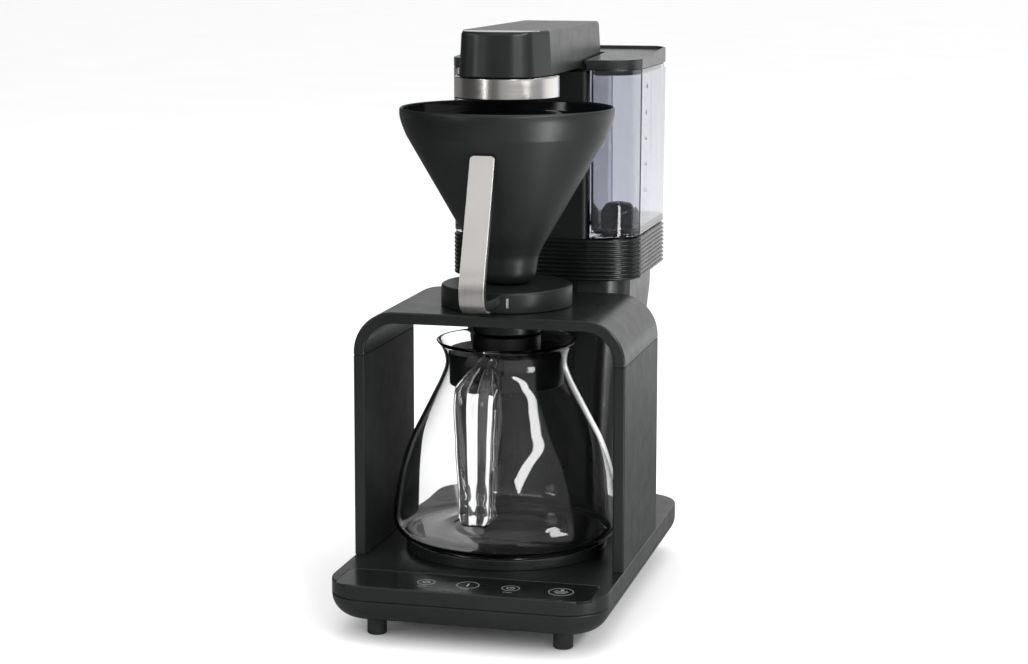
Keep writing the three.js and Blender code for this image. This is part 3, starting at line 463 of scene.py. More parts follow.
def evaluated_mesh(obj):
    """A new mesh from an object with its modifiers or its lettering worked out."""
    bpy.context.view_layer.update()
    return bpy.data.meshes.new_from_object(
        obj.evaluated_get(bpy.context.evaluated_depsgraph_get()))


def combine(obj, others, operation="DIFFERENCE", sharp=38):
    """Cuts or joins other objects with obj and leaves one mesh."""
    obj.modifiers.clear()
    for other in others:
        other.modifiers.clear()
        modifier = obj.modifiers.new("combine", "BOOLEAN")
        modifier.operation = operation
        modifier.solver = "EXACT"
        modifier.object = other
    result = evaluated_mesh(obj)
    obj.modifiers.clear()
    obj.data = result
    for other in others:
        bpy.data.objects.remove(other)
    smooth(obj, sharp)
    return obj


def merge(obj, others):
    """Puts the faces of several meshes in one object, without cutting."""
    soup = bmesh.new()
    soup.from_mesh(obj.data)
    for other in others:
        soup.from_mesh(other.data)
        bpy.data.objects.remove(other)
    soup.to_mesh(obj.data)
    soup.free()
    obj.modifiers.clear()
    smooth(obj)
    return obj


def place(obj, body, slot, material, *nodes):
    """Gives a piece its body and material, and hides the CAD nodes that it stands for. The slot is
    not used.
    """
    obj.data.materials.clear()
    for m in material if isinstance(material, (list, tuple)) else [material]:
        obj.data.materials.append(m)
    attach(obj, body)
    if nodes:
        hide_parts(*nodes)
    return obj


def black(obj, body, material, *nodes):
    return place(obj, body, "matte_black", material, *nodes)


def repaint(material, *nodes):
    """Gives CAD nodes whose shape is right a better material."""
    for node in nodes:
        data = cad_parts[node].data
        data.materials.clear()
        data.materials.append(material)


# ---- base ----
TRAY_TOP, DECK_TOP = 32, 43.2
TRAY_ROUND = 17.5
PANEL_X, PANEL_FRONT_Y, PANEL_REAR_Y = 96.5, -190, -146.3
plan = rect_outline(-HALF, HALF, FRONT_Y, PLATE_REAR_Y, 32, 16)

underside = [(TRAY_ROUND * (1 - sin(a)), TRAY_TOP - TRAY_ROUND * cos(a))
             for a in (radians(90 * k / 14) for k in range(14))]
tray = stacked("tray_tub", plan, [(19.5, 14.5), *underside, (0, 31.4), (0.5, TRAY_TOP)])
screw_wells = [rod("well", 3, 14, 24, x, y, 20)
               for x in (-50, 50) for y in (FRONT_Y + 70, PLATE_REAR_Y - 70)]
black(combine(tray, screw_wells), "frame", mat_tray, "base_tray")

deck_profile = filleted([
    (6, 32.3), (0.5, 32.3, 0.2), (0, 33, 0.4), (0, DECK_TOP, 1.1), (6, DECK_TOP)])
deck = stacked("deck", plan, deck_profile)
recess = stacked("recess", rect_outline(
    -PANEL_X - 0.3, PANEL_X + 0.3, PANEL_FRONT_Y - 0.3, PANEL_REAR_Y + 0.3, 9.3, 8),
    [(0, 41.3), (0, 45)])
black(combine(deck, [recess]), "frame", mat_deck, "base_plate")

panel = stacked("touch_glass", rect_outline(
    -PANEL_X, PANEL_X, PANEL_FRONT_Y, PANEL_REAR_Y, 9, 10), filleted(
    [(3, 41.6), (0, 41.6, 0.3), (0, DECK_TOP, 0.35), (3, DECK_TOP)], steps=4))
place(panel, "frame", "gloss_black", mat_panel, "touch_panel")


INK_T = 0.05


def flat_path(name, points, width):
    """A thin line printed on the touch panel through plan points."""
    left, right = [], []
    for i, point in enumerate(points):
        a = Vector(points[max(i - 1, 0)])
        b = Vector(points[min(i + 1, len(points) - 1)])
        side = (b - a).normalized().orthogonal() * width / 2
        left.append(Vector(point) + side)
        right.append(Vector(point) - side)
    verts = [(p.x, p.y, h) for h in (DECK_TOP, DECK_TOP + INK_T) for p in (*left, *right[::-1])]
    n = len(left) * 2
    faces = [[i, (i + 1) % n, n + (i + 1) % n, n + i] for i in range(n)]
    for base in (0, n):
        for i in range(len(left) - 1):
            faces.append([base + i, base + i + 1, base + n - 2 - i, base + n - 1 - i])
    return build(name, verts, faces, weighted=False)


def arc_points(x, y, r, start, end, steps=40):
    return [(x + r * cos(a), y + r * sin(a)) for a in (
        radians(start + (end - start) * k / steps) for k in range(steps + 1))]


# Plain signs with no lettering: a steaming cup, a power bar, a dial and a wavy heat sign, each in
# a circle, and a short line under the first three.
CUP_X, POWER_X, DIAL_X, HEAT_X, ICON_Y = -31, 0.7, 33, 70.6, -169.5
icon_lines = [(arc_points(x, ICON_Y, r, 0, 360), 0.42)
              for x, r in ((CUP_X, 6.4), (POWER_X, 8.2), (DIAL_X, 6.4), (HEAT_X, 9.0))]
icon_lines += [
    (arc_points(CUP_X, -169, 2.6, 180, 360, 16), 0.6), ([(-34.2, -168.6), (-27.8, -168.6)], 0.6),
    ([(-32, -167), (-32, -165.4)], 0.5), ([(-30, -167), (-30, -165.4)], 0.5),
    ([(POWER_X, -173), (POWER_X, -166)], 1.0),
    (arc_points(DIAL_X, ICON_Y, 2.7, 0, 360, 24), 0.6), ([(DIAL_X, ICON_Y), (34.6, -167.6)], 0.5)]
for row, half in ((-167.8, 4.6), (-170.4, 5.6), (-173, 4.0)):
    icon_lines.append(([(HEAT_X + half * (k / 8 - 1), row + 0.5 * sin(k * 0.9))
                        for k in range(17)], 0.55))
icon_lines.append((arc_points(HEAT_X, -164.6, 0.9, 0, 360, 12), 0.9))
icon_lines += [([(x - 3.5, -180.2), (x + 3.5, -180.2)], 0.45) for x in (CUP_X, POWER_X, DIAL_X)]
icons = [flat_path("icon", points, width) for points, width in icon_lines]
place(merge(icons[0], icons[1:]), "frame", "mark_grey", mat_ink)
icons[0].name = "panel_icons"
border = flat_path("panel_border", [
    (-94.9, -161), (-94.9, -152), *arc_points(-90.5, -152.2, 4.4, 180, 90, 8), (-60, -147.8),
    (0, -147.8), (60, -147.8), (90.5, -147.8), *arc_points(90.5, -152.2, 4.4, 90, 0, 8),
    (94.9, -156)], 0.4)
place(border, "frame", "mark_grey", mat_line)

FOOT_X, FOOT_FRONT_Y, FOOT_REAR_Y = 71, -163.5, 103.5
foot_profile = filleted([
    (0, 0.6), (4.4, 0.6), (4.8, 0, 0.3), (7.3, 0, 1.3), (7.3, 14.2, 0.2), (0, 14.2)])
for end, y in (("front", FOOT_FRONT_Y), ("rear", FOOT_REAR_Y)):
    for side, x in (("left", -FOOT_X), ("right", FOOT_X)):
        foot = lathe(f"foot_pad_{end}_{side}", foot_profile, x, y, 48)
        place(foot, "frame", "rubber", mat_rubber, f"foot_{end}_{side}")

ring_profile = filleted([
    (75.4, 43.5), (78, 43.5, 0.3), (78, 46.6, 0.2), (77.6, 46.9, 0.1), (78, 47.2, 0.2),
    (78, 51.4, 0.9), (75.4, 51.4, 0.4)], True, 4)
black(lathe("hotplate_wall", ring_profile, closed=True, sides=128), "frame", mat_hot_ring,
      "warming_plate_ring")
disc = [(0, 51.9), (38, 51.9), (38.5, 51.7), (39.2, 51.7), (39.7, 51.95), (62, 52), (62.6, 51.75),
        (63.6, 51.75), (64.2, 52), (73.6, 52), (74.6, 51.6), (75, 50.6), (75, 43.5), (71, 43.5),
        (71, 39.2), (69, 39.2), (69, 49.5), (0, 49.5)]
place(lathe("hotplate_disc", disc, sides=128), "frame", "gloss_black", mat_hotplate,
      "warming_plate")

gland = lathe("gland_boot", filleted([
    (0, 0), (7, 0, 0.3), (7, 3, 0.8), (5.2, 3.4, 0.3), (5, 5), (5.3, 5.6, 0.2), (4.9, 6.2),
    (4.8, 7.6), (5.1, 8.2, 0.2), (4.7, 8.8), (4.6, 10.2), (4.9, 10.8, 0.2), (4.5, 11.4),
    (4.3, 14, 0.5), (2.6, 14, 0.3), (2.6, 2), (0, 2)]), 0, 0, 40)
moved(gland, lambda x, y, z: (x - 0.062, z + 0.1378, -y + 0.024))
place(gland, "frame", "rubber", mat_rubber, "cable_gland")


# ---- arch ----
ARCH_FRONT, ARCH_REAR = -111.5, 21.5
ARCH_T, ARCH_FOOT_Z, SEAM_Z, SPAN_Z = 8.8, 43.5, 198.75, 228.6
BEND_X, BEND_Z, BEND_R = 73, 201, 27.6
for name, x0 in (("left", -HALF), ("right", HALF - ARCH_T)):
    leg = stacked(f"arch_{name}_post", rect_outline(x0, x0 + ARCH_T, ARCH_FRONT, ARCH_REAR, 1.5, 5),
                  filleted([(2, ARCH_FOOT_Z), (0, ARCH_FOOT_Z, 0.3), (0, SEAM_Z, 0.35),
                            (2, SEAM_Z)], steps=3))
    black(leg, "frame", mat_post, f"arch_{name}_leg")


def arch_station(x, z, nx, nz, shrink=0.0):
    """A section of the arch across its centre line, whose outward direction is (nx, nz)."""
    half = ARCH_T / 2 - shrink
    ring = rect(-half, half, ARCH_FRONT + shrink, ARCH_REAR - shrink, 1.5, 5)
    return [(x + nx * d, y, z + nz * d) for d, y in ring]


def arch_bend(x, start):
    """A quarter turn clockwise about (x, BEND_Z), from `start` degrees."""
    out = []
    for k in range(25):
        a = radians(start - 90 * k / 24)
        c, s = cos(a), sin(a)
        out.append(arch_station(x + BEND_R * c, BEND_Z + BEND_R * s, c, s))
    return out


POST_X = BEND_X + BEND_R
bridge_rings = [
    arch_station(-POST_X, 199, -1, 0, 0.35), arch_station(-POST_X, 199.35, -1, 0),
    *arch_bend(-BEND_X, 180), *[arch_station(x, SPAN_Z, 0, 1) for x in (-50, -25, 0, 25, 50)],
    *arch_bend(BEND_X, 90),
    arch_station(POST_X, 199.35, 1, 0), arch_station(POST_X, 199, 1, 0, 0.35)]
bridge = rings_to_mesh("arch_bridge_band", bridge_rings)
throat = rod("throat", 15, 220, 236, sides=48)
black(combine(bridge, [throat]), "frame", mat_arch, "arch_bridge")

outlet = filleted([
    (9, 217), (9, 213, 0.4), (26, 212, 1), (27, 213, 0.6), (27, 219, 0.2), (26.5, 219.4, 0.2),
    (27, 219.8, 0.2), (27, 223.9, 0.2), (14.6, 223.9), (14.6, 232), (12.8, 232), (12.8, 217)],
    True, 3)
black(lathe("outlet_collar", outlet, closed=True), "frame", mat_outlet, "outlet_housing")
plunger = filleted([
    (0, 212.5), (6.5, 212.5, 0.8), (8, 214, 0.5), (8, 220), (11.5, 220, 0.3), (11.5, 222, 0.3),
    (3.5, 222), (3.5, 229, 0.4), (0, 229)], steps=3)
black(lathe("drip_plug", plunger, sides=48), "drip_stop", mat_inner, "drip_plunger")
repaint(mat_silicone, "drip_seal")
repaint(mat_inner, "drip_retainer")


def spring(node, body, x, y, radius, bottom, top, turns):
    """A wire spring that rides up on the joint."""
    steps = turns * 24
    rings = []
    for i in range(steps + 1):
        a = radians(15 * i)
        ring = [radians(45 * k) for k in range(8)]
        rings.append([(x + (radius + 0.5 * cos(b)) * cos(a),
                       y + (radius + 0.5 * cos(b)) * sin(a),
                       bottom + (top - bottom) * i / steps + 0.5 * sin(b)) for b in ring])
    piece = place(rings_to_mesh(node + "_wire", rings), body, "bright_steel", mat_bright, node)
    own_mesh(piece)


(_, _, drip_low), (_, _, drip_high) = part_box("drip_spring")
spring("drip_spring", "drip_stop", 0, AXIS_Y, 6.2, drip_low / MM + 0.5,
       drip_high / MM - 0.5, 3)


# ---- filter holder ----
cone_out = [*curved([(14.5, 249.8), (18.7, 251.3), (22.2, 256), (23.6, 264), (25, 271.5),
                     (28.4, 279)], 6),
            *curved([(77, 364), (80.3, 372.6), (81.9, 379), (82, 383.2)], 6)]
cone_lip = [(81.7, 384.4), (80.9, 385), (80.1, 384.6), (79.7, 383.4)]
cone_in = [*[(r - 2.4, z + 0.4) for r, z in curved(
    [(81.2, 378.5), (79.4, 371.5), (77, 364.4)], 4)], (27, 281.5), (22, 272), (19, 262), (16, 255)]
cone = lathe("cone_funnel", [(5, 249.8), *cone_out, *cone_lip, *cone_in, (11, 252.4), (5, 252.4)],
             sides=160, closed=True, sharp=50)
black(cone, "filter_holder", [mat_cone, mat_liner], "cone_shell")
# Below its lip the cone is glossy inside.
for polygon in cone.data.polygons:
    out = Vector((polygon.center.x, polygon.center.y - AXIS_Y * MM, 0))
    if polygon.center.z > 0.2555 and polygon.normal.dot(out.normalized()) < 0.05:
        polygon.material_index = 1 if polygon.center.z < 0.3838 else 0


def ribbed_liner():
    """The paper's liner: a thin cone whose inner face carries slanting ribs."""
    sides, ribs = 240, 20
    outer = [(20.3, 270), (23.5, 278), (73.5, 366.5), (77.4, 373), (77.5, 377)]
    inner = [(r - 1.4, z) for r, z in outer]
    rings = []
    for index, (r, z) in enumerate(evenly(outer, 26) + evenly(inner, 26)[::-1]):
        ring = []
        for i in range(sides):
            a = 2 * pi * i / sides
            swing = sin(ribs * (a + (z - 270) * 0.006))
            raised = 1.1 * max(0, swing) ** 6 if index >= 26 and z < 362 else 0
            ring.append(((r - raised) * cos(a), AXIS_Y + (r - raised) * sin(a), z))
        rings.append(ring)
    return rings_to_mesh("filter_cup", rings, closed=True, weighted=False)


cup = ribbed_liner()
floor_plate = lathe("floor", filleted([
    (4, 256.6), (14, 256.6, 0.4), (20.3, 270.2), (18.9, 270.2), (13.2, 258.2, 0.4), (4, 258.2)],
    True, 2), closed=True)
place(merge(cup, [floor_plate]), "filter_holder", "gloss_black", mat_liner, "filter_liner")

drum = filleted([
    (7, 246.5), (47.5, 246.5), (47.5, 233.3), (49.9, 233.3), (50.5, 233.9, 0.4),
    (50.5, 249.5, 2.2), (7, 249.5)], True, 6)
drum_body = lathe("drum_body", drum, closed=True, sides=144)
MARK = radians(14.5)


def on_drum(x, y, z):
    """From a place on a drum's front, as if its mark were straight ahead, to the real place."""
    return (x * cos(MARK) - y * sin(MARK),
            AXIS_Y + x * sin(MARK) + y * cos(MARK), z)


def turned_to_mark(obj):
    return moved(obj, lambda *at: Vector(on_drum(*(c / MM for c in at))) * MM)


mark_slot = turned_to_mark(block("slot", -1.2, 1.2, -51.5, -49.3, 237.7, 245.3, 0.5, 0.1))
black(combine(drum_body, [mark_slot]), "filter_holder", mat_drum, "filter_drum")
mark = turned_to_mark(block("drum_mark_inlay", -0.95, 0.95, -50.6, -49.6, 237.9, 245.1, 0.4, 0.12))
place(mark, "filter_holder", "mark_grey", mat_mark, "drum_mark")

STRIP = [(72.7, 354), (84, 322), (94, 294), (102.5, 270), (105.5, 258), (103, 248), (96, 242.5),
         (86, 240.5)]
strip_line = evenly(curved([(AXIS_Y - r, z) for r, z in STRIP], 12), 110)
STRIP_LENGTH, STRIP_HALF, STRIP_T, STRIP_CORNER, STRIP_EDGE = 130.2, 9.5, 1.5, 2.2, 0.55


def strip_section(s):
    """A thin flat strip with rounded long edges and a rounded top end."""
    to_corner = STRIP_CORNER - s * STRIP_LENGTH
    half = STRIP_HALF
    if to_corner > 0:
        half -= STRIP_CORNER - sqrt(max(0, STRIP_CORNER ** 2 - to_corner ** 2))
    pts = []
    for side in (1, -1):
        for k in range(5):
            a = radians(45 * k - 90 * side)
            pts.append((side * (half - STRIP_EDGE) + STRIP_EDGE * cos(a),
                        STRIP_T / 2 * sin(a)))
    return pts


place(bar("handle_face", strip_line, strip_section), "filter_holder", "satin_steel", mat_strip,
      "handle_strip")

core_points = [(AXIS_Y - r, z) for r, z in (
    (68.8, 347.6), (78.8, 320), (88.8, 294), (97.3, 270), (100.3, 258), (98.2, 250.2),
    (93.2, 246.6), (84, 245.2), (68, 244.6), (48, 244.6))]
core_line = evenly(curved(core_points, 10), 90)


def core_section(s):
    """The black core behind the strip, thinned over its first twenty-fifth."""
    half, thick, soft = 8.9, 3.9 * (0.3 + 0.7 * min(1, s / 0.04)), 1.6
    return rect(-half, half, -thick, thick, soft, 4)


black(bar("handle_grip", core_line, core_section), "filter_holder", mat_core, "handle_core")


# ---- jug ----
JUG_WALL = [(80.3, 54.2), (84.6, 57.4), (87.3, 62.5), (88, 69), (86.6, 83), (82.2, 105.5),
            (75.6, 126), (67, 143.5), (58, 161.5), (50.6, 176.8), (47.3, 187), (48.2, 195),
            (51.2, 201.5), (53.9, 204.7)]
wall = curved([(74, 52.3), (77.5, 52.9), *JUG_WALL], 7)


def inward(line, depth):
    """The line moved to its left."""
    out = []
    for k, (r, z) in enumerate(line):
        before, after = line[max(k - 1, 0)], line[min(k + 1, len(line) - 1)]
        t = Vector((after[0] - before[0], after[1] - before[1])).normalized()
        out.append((r - t.y * depth, z + t.x * depth))
    return out


inner_wall = [(r, z) for r, z in inward(wall, 2.4) if 57.5 < z < 204.2]
jug_profile = [(0, 53.9), (30, 53.8), (38, 53.5), (42, 53.8), (58, 53.4), (66, 52.6), (70, 52.3),
               *wall, (54.3, 205.6), (53.7, 206), (52.7, 205.7), *inner_wall[::-1],
               *curved([(78.5, 57.0), (74, 56.4), (66, 56.8), (56, 57.6), (45, 57.3), (41, 56.6),
                        (34, 57.2), (16, 56.9), (0, 56.9)], 4)]
jug = lathe("jug_vessel", jug_profile, sides=160, sharp=60, weighted=False)

JUG_HANDLE = [(46.5, 199), (56, 197.2), (66, 194), (77.5, 189.2), (87, 183.6), (91.8, 175.5),
              (93.3, 163), (93.6, 140), (93.4, 116), (93, 97), (94.3, 88), (98, 82)]
handle_line = evenly(curved([(AXIS_Y - r, z) for r, z in JUG_HANDLE], 12), 130)
# Place along the handle, half width and half thickness.
HANDLE_SIZES = [
    (0, 6.5, 4.2), (0.12, 8, 4.4), (0.24, 14, 5.0), (0.3, 17, 5.4), (0.4, 16.8, 5.4),
    (0.6, 15.4, 5.2), (0.85, 13.4, 5.0), (0.94, 13, 4.4), (0.985, 11.5, 3.4), (1, 8.5, 1.8)]


def jug_handle_section(s):
    """A thick strap of glass with two rounded ribs, wide at the shoulder, narrow at the root."""
    for (s0, w0, t0), (s1, w1, t1) in zip(HANDLE_SIZES, HANDLE_SIZES[1:]):
        if s <= s1:
            f = (s - s0) / (s1 - s0)
            f = f * f * (3 - 2 * f)
            wide, thick = w0 + (w1 - w0) * f, t0 + (t1 - t0) * f
            break
    pts = []
    for k in range(56):
        a = 2 * pi * k / 56
        c, d = cos(a), sin(a)
        x = copysign(abs(c) ** 0.8, c)
        groove = exp(-((x - 0.12) / 0.3) ** 2)
        pts.append((wide * x, thick * copysign(abs(d) ** 0.85, d) * (1 - 0.3 * groove)))
    return pts


jug_handle = bar("handle_bar", handle_line, jug_handle_section, sharp=80)
hollow = lathe("hollow", [(0, 60), *[(max(r, 0), z) for r, z in inner_wall if z > 60][:-2],
                          (50, 215), (0, 215)], sides=160)
jug_handle = combine(jug_handle, [hollow], sharp=80)
jug_handle.modifiers.clear()
jug = combine(jug, [jug_handle], "UNION", sharp=60)
jug.modifiers.clear()
place(jug, "jug", "clear_glass", mat_glass, "jug_glass", "jug_handle")

lid_profile = filleted([
    (41.6, 171.5, 0.4), (44, 171.5, 0.8), (44, 188), (45.2, 195, 0.3), (45.2, 198, 0.8),
    (30, 198.2), (26.5, 199, 0.6), (26.5, 210.4, 1.6), (13, 210.4, 1.0), (11.5, 203), (5, 199),
    (5, 194), (39.4, 194), (41, 186)], True, 4)
jug_lid = lathe("lid_skirt", lid_profile, closed=True, sides=96)
pour = block("pour", -9, 9, AXIS_Y + 28, AXIS_Y + 40, 190, 201, 3, 0.1)
vents = []
for angle in range(-70, 80, 20):
    a = radians(angle - 90)
    x, y = 33.5 * cos(a), AXIS_Y + 33.5 * sin(a)
    vents.append(block("vent", x - 1.5, x + 1.5, y - 2.4, y + 2.4, 196.5, 202, 0.6, 0.1))
black(combine(jug_lid, [pour, *vents]), "jug_lid", mat_jug_lid, "jug_lid")


# ---- tower ----
TOWER_HALF, CREASE_Y, TOWER_REAR_Y = 79, 82, 193.5
COLUMN_HALF, COLUMN_REAR_Y = 39.5, 134.5
FRONT_BOW = 27.5
# Corners of the bowed front: share of the half width, distance ahead of the crease, radius.
FRONT_CORNERS = ((0.772, 24.5, 30), (0.943, 14, 20))


def tower_plan(half, crease, rear, middle, rear_radius=9):
    """The tower's corners from above: a bowed front, a crease at each side and a round rear."""
    size = half / TOWER_HALF
    return both_sides([
        (middle, crease - FRONT_BOW * size, 2.5),
        *[(share * half, crease - ahead * size, r * size) for share, ahead, r in FRONT_CORNERS],
        (half, crease, 1.2), (half, rear, rear_radius)])


def inset_plan(corners, inset):
    """The plan with every edge moved inwards by the same distance."""
    out = []
    for i, (x, y, r) in enumerate(corners):
        (x0, y0, _), (x1, y1, _) = corners[i - 1], corners[(i + 1) % len(corners)]
        a, b = Vector((x - x0, y - y0)).normalized(), Vector((x1 - x, y1 - y)).normalized()
        reach = inset / (1 + a.dot(b))
        out.append((x - (a.y + b.y) * reach, y + (a.x + b.x) * reach, max(r - inset, min(r, 0.8))))
    return out


# Height, half width, crease and rear.
NECK = [(43.5, 60, 68, 134), (75, 61, 72, 142), (140, 64, 78, 160), (205, 68.5, 82, 181),
        (220, 69.6, 83.5, 183.5), (235.7, 70, 83.5, 183.5)]
neck_line = [(min(z, NECK[-1][0]), *rest) for z, *rest in curved(NECK, 7)]
neck_rings = []
for z, half, crease, rear in neck_line:
    corners = tower_plan(half, crease, rear, 0.45 * half, 12)
    neck_rings.append([(x, y, z) for x, y in filleted(corners, True, 8)])
neck = rings_to_mesh("neck_moulding", neck_rings)


def rear_window(name, grow, deep):
    """A slanted box that follows the neck's sloping rear wall."""
    rings = []
    for k in range(15):
        z = 62 - grow + (144 + 2 * grow) * k / 14
        for (z0, *_, r0), (z1, *_, r1) in zip(neck_line, neck_line[1:]):
            if z0 <= z <= z1:
                rear = r0 + (r1 - r0) * (z - z0) / max(z1 - z0, 1e-6)
        x = 44 + grow
        rings.append([(px, py, z) for px, py in rect(-x, x, rear - deep, rear + 8, 3, 4)])
    return rings_to_mesh(name, rings)


groove = combine(rear_window("groove", 0.5, 2), [rear_window("core", -0.5, 3)])
black(combine(neck, [groove]), "frame", mat_tower, "neck_shell", "rear_cover")


def collar_outline(inset):
    """The collar from above, right across the column."""
    plan = tower_plan(TOWER_HALF, CREASE_Y, TOWER_REAR_Y, COLUMN_HALF)
    return filleted(inset_plan(plan, inset), True, 8)


COLLAR_Z, COLLAR_TOP = 236, 270
RIB_PITCH, RIB_HEIGHT, RIB_DEPTH = 3.4, 2.7, 1.35
collar = [(3, COLLAR_Z)]
for i in range(10):
    low = COLLAR_Z + RIB_PITCH * i + (RIB_PITCH - RIB_HEIGHT) / 2
    for k in range(9):
        a = pi * k / 8
        collar.append((RIB_DEPTH * (1 - sin(a) ** 0.75), low + RIB_HEIGHT * k / 8))
collar += [(1.3, COLLAR_TOP), (4, COLLAR_TOP)]
black(stacked("collar_ribs", collar_outline, collar, sharp=60, weighted=False), "frame",
      mat_collar, "ribbed_collar")

column = stacked("column_sleeve", rect_outline(
    -COLUMN_HALF, COLUMN_HALF, 56.5, COLUMN_REAR_Y, 5, 8),
    filleted([(3, 270.3), (0, 270.3, 0.3), (0, 405.4, 0.4), (4, 406.4, 0.6), (4, 409.2, 0.3),
              (7, 409.2)], steps=2))
black(column, "frame", mat_column, "column_cover")


# ---- water tank ----
VALVE_X, VALVE_Y = 59.8, 86
SLOT_REAR_Y = COLUMN_REAR_Y + 3
HINGE_X, HINGE_Y, HINGE_Z, PIN_R = 53, 187.5, 412, 1.8


def tank_outline(inset, slot=COLUMN_HALF + 1, rear=TOWER_REAR_Y):
    """The tank from above, with a slot for the column. The slot is open at the front."""
    plan = [*tower_plan(TOWER_HALF, CREASE_Y, rear, slot),
            (-slot, SLOT_REAR_Y, 3), (slot, SLOT_REAR_Y, 3)]
    return filleted(inset_plan(plan, inset), True, 8)


def pin_hole(reach):
    """A rod along the hinge's pin, to cut its hole."""
    return moved(rod("bore", PIN_R, -reach, reach, 0, 0, 24),
                 lambda x, y, z: (z, y + HINGE_Y * MM, x + HINGE_Z * MM))


tank_profile = [(4, 271), (1.9, 271), (1.1, 271.7), (0.8, 273), (0, 406.1), (0.4, 406.7),
                (2.2, 406.7), (2.6, 406.1), (3.2, 278), (4, 275.6), (6, 274.4)]
tank = stacked("tank_vessel", tank_outline, tank_profile, sharp=50)
outlet_hole = rod("hole", 6.5, 268, 280, VALVE_X, VALVE_Y, 40)
relief = block("relief", -85, 85, 179, 200, 402.7, 410, 1, 0.3)
place(combine(tank, [outlet_hole, relief], sharp=50), "tank", "smoky_plastic", mat_smoky,
      "water_tank")

sole = stacked("tank_sole", lambda inset: tank_outline(inset + 4.4), filleted([
    (1.5, 274.7), (0, 274.7, 0.4), (0, 278.4, 0.8), (1.5, 278.4)], steps=3))
well = rod("well", 15.4, 270, 285, VALVE_X, VALVE_Y, 64)
black(combine(sole, [well]), "tank", mat_cage)

lugs = [block("hinge_lug", x - 3, x + 3, HINGE_Y - 3, HINGE_Y + 3, 397.2, HINGE_Z + 2.4, 1.2, 0.5)
        for x in (-HINGE_X, HINGE_X)]
lug_pair = combine(merge(lugs[0], lugs[1:]), [pin_hole(62)])
lug_pair.name = "tank_hinge_lugs"
black(lug_pair, "tank", mat_inner)

# The scale on the tank's right side: dashes, and a plain numeral at every second one.
scale_parts = []
for k in range(1, 11):
    z = 286 + 10.6 * k
    even = k % 2 == 0
    reach = 2.6 if even else 1.3
    scale_parts.append(block(
        "dash", TOWER_HALF - 0.05, 79.06, 96.5, 96.5 + reach, z - 0.25, z + 0.25, 0.05, 0.02))
    if even:
        text = bpy.data.curves.new("numeral", "FONT")
        text.body = str(k)
        text.size = 5.4 * MM
        text.extrude = 0.00005
        text.align_x = "LEFT"
        numeral = new_object("numeral", text)
        numeral.rotation_euler = (pi / 2, 0, pi / 2)
        numeral.location = (0.07901, 0.101, (z - 2) * MM)
        mesh = evaluated_mesh(numeral)
        mesh.transform(numeral.matrix_world)
        bpy.data.objects.remove(numeral)
        scale_parts.append(new_object("numeral", mesh))
tank_scale = merge(scale_parts[0], scale_parts[1:])
tank_scale.name = "tank_scale"
place(tank_scale, "tank", "mark_grey", mat_scale)

cage = filleted([
    (11.5, 274.3), (15.1, 274.3, 0.2), (15.1, 276.6), (14.9, 277, 0.2), (14.9, 291, 7.0),
    (10, 297.5, 5.0), (3.2, 298.2, 0.5), (3.2, 296.2), (11.5, 289)], True, 4)
cage_piece = lathe("valve_dome", cage, VALVE_X, VALVE_Y, 64, closed=True)
ports = []
for angle in range(0, 360, 45):
    a = radians(angle)
    x, y = VALVE_X + 13.5 * cos(a), VALVE_Y + 13.5 * sin(a)
    ports.append(block("port", x - 2.2, x + 2.2, y - 2.2, y + 2.2, 276.9, 281.5, 0.8, 0.2))
black(combine(cage_piece, ports), "tank", mat_cage, "tank_valve_cage")
poppet = filleted([
    (0, 271.6), (3, 271.6, 0.4), (3, 274.6), (9.5, 274.6, 0.3), (9.5, 276.6, 0.3), (3, 276.6),
    (3, 289, 0.5), (0, 289)], steps=3)
black(lathe("valve_poppet", poppet, VALVE_X, VALVE_Y, 40), "tank_valve", mat_inner,
      "tank_valve_poppet")
(_, _, valve_low), (_, _, valve_high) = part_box("tank_valve_spring")
spring("tank_valve_spring", "tank_valve", VALVE_X, VALVE_Y, 6,
       valve_low / MM + 0.5, valve_high / MM - 0.5, 4)

seal = stacked("seal_band", lambda inset: tank_outline(inset, rear=184.5), filleted([
    (4.1, 402.5, 0.5), (4.1, 406.7), (6.6, 406.7), (6.6, 402.5, 0.5)], True, 3), closed=True)
place(seal, "tank_lid", "rubber", mat_seal, "lid_seal")

LID_Z, LID_TOP, LID_SLOT = 407, 415, 36.7


def lid_rise(x, y):
    """How much higher than its front edge the lid is: it climbs to a crowned rear."""
    back = max(0, (y - CREASE_Y) / (TOWER_REAR_Y - CREASE_Y))
    return back * (2.4 + 3.2 * (1 - (x / TOWER_HALF) ** 2))


lid_rings = []
for inset, z in [(2.5, LID_Z), *filleted([
        (1.5, LID_Z), (0, LID_Z, 0.8), (0, LID_TOP, 0.6), (2.6, LID_TOP)], steps=4)]:
    lid_rings.append([(x, y, z + (lid_rise(x, y) if z > LID_Z + 4 else 0))
                      for x, y in tank_outline(inset, LID_SLOT)])
lid = rings_to_mesh("lid_panel", lid_rings)
rim_rings = []
for inset, drop in filleted([(0, 3), (0, 0, 0.7), (2.2, 0, 0.9), (3.4, 3)], steps=5):
    rim_rings.append([
        (x, y, LID_TOP + 0.1 - drop + lid_rise(x, y) + 2.2 * max(0, min(1, (y - 90) / 80)))
        for x, y in collar_outline(inset)])
rim = rings_to_mesh("rim", rim_rings, closed=True)
arm_way = block("arm_way", -LID_SLOT - 0.4, LID_SLOT + 0.4, 40, 70, 405, 422, 2, 0.2)
notches = [block("notch", x - 3.6, x + 3.6, HINGE_Y - 4.5, 196, 405, HINGE_Z + 4.4, 0.5, 0.1)
           for x in (-HINGE_X, HINGE_X)]
lid = combine(lid, [combine(rim, [arm_way])], "UNION")
black(combine(lid, [*notches, pin_hole(70)]), "tank_lid", mat_lid, "tank_lid")
repaint(mat_bright, "lid_hinge_pin")


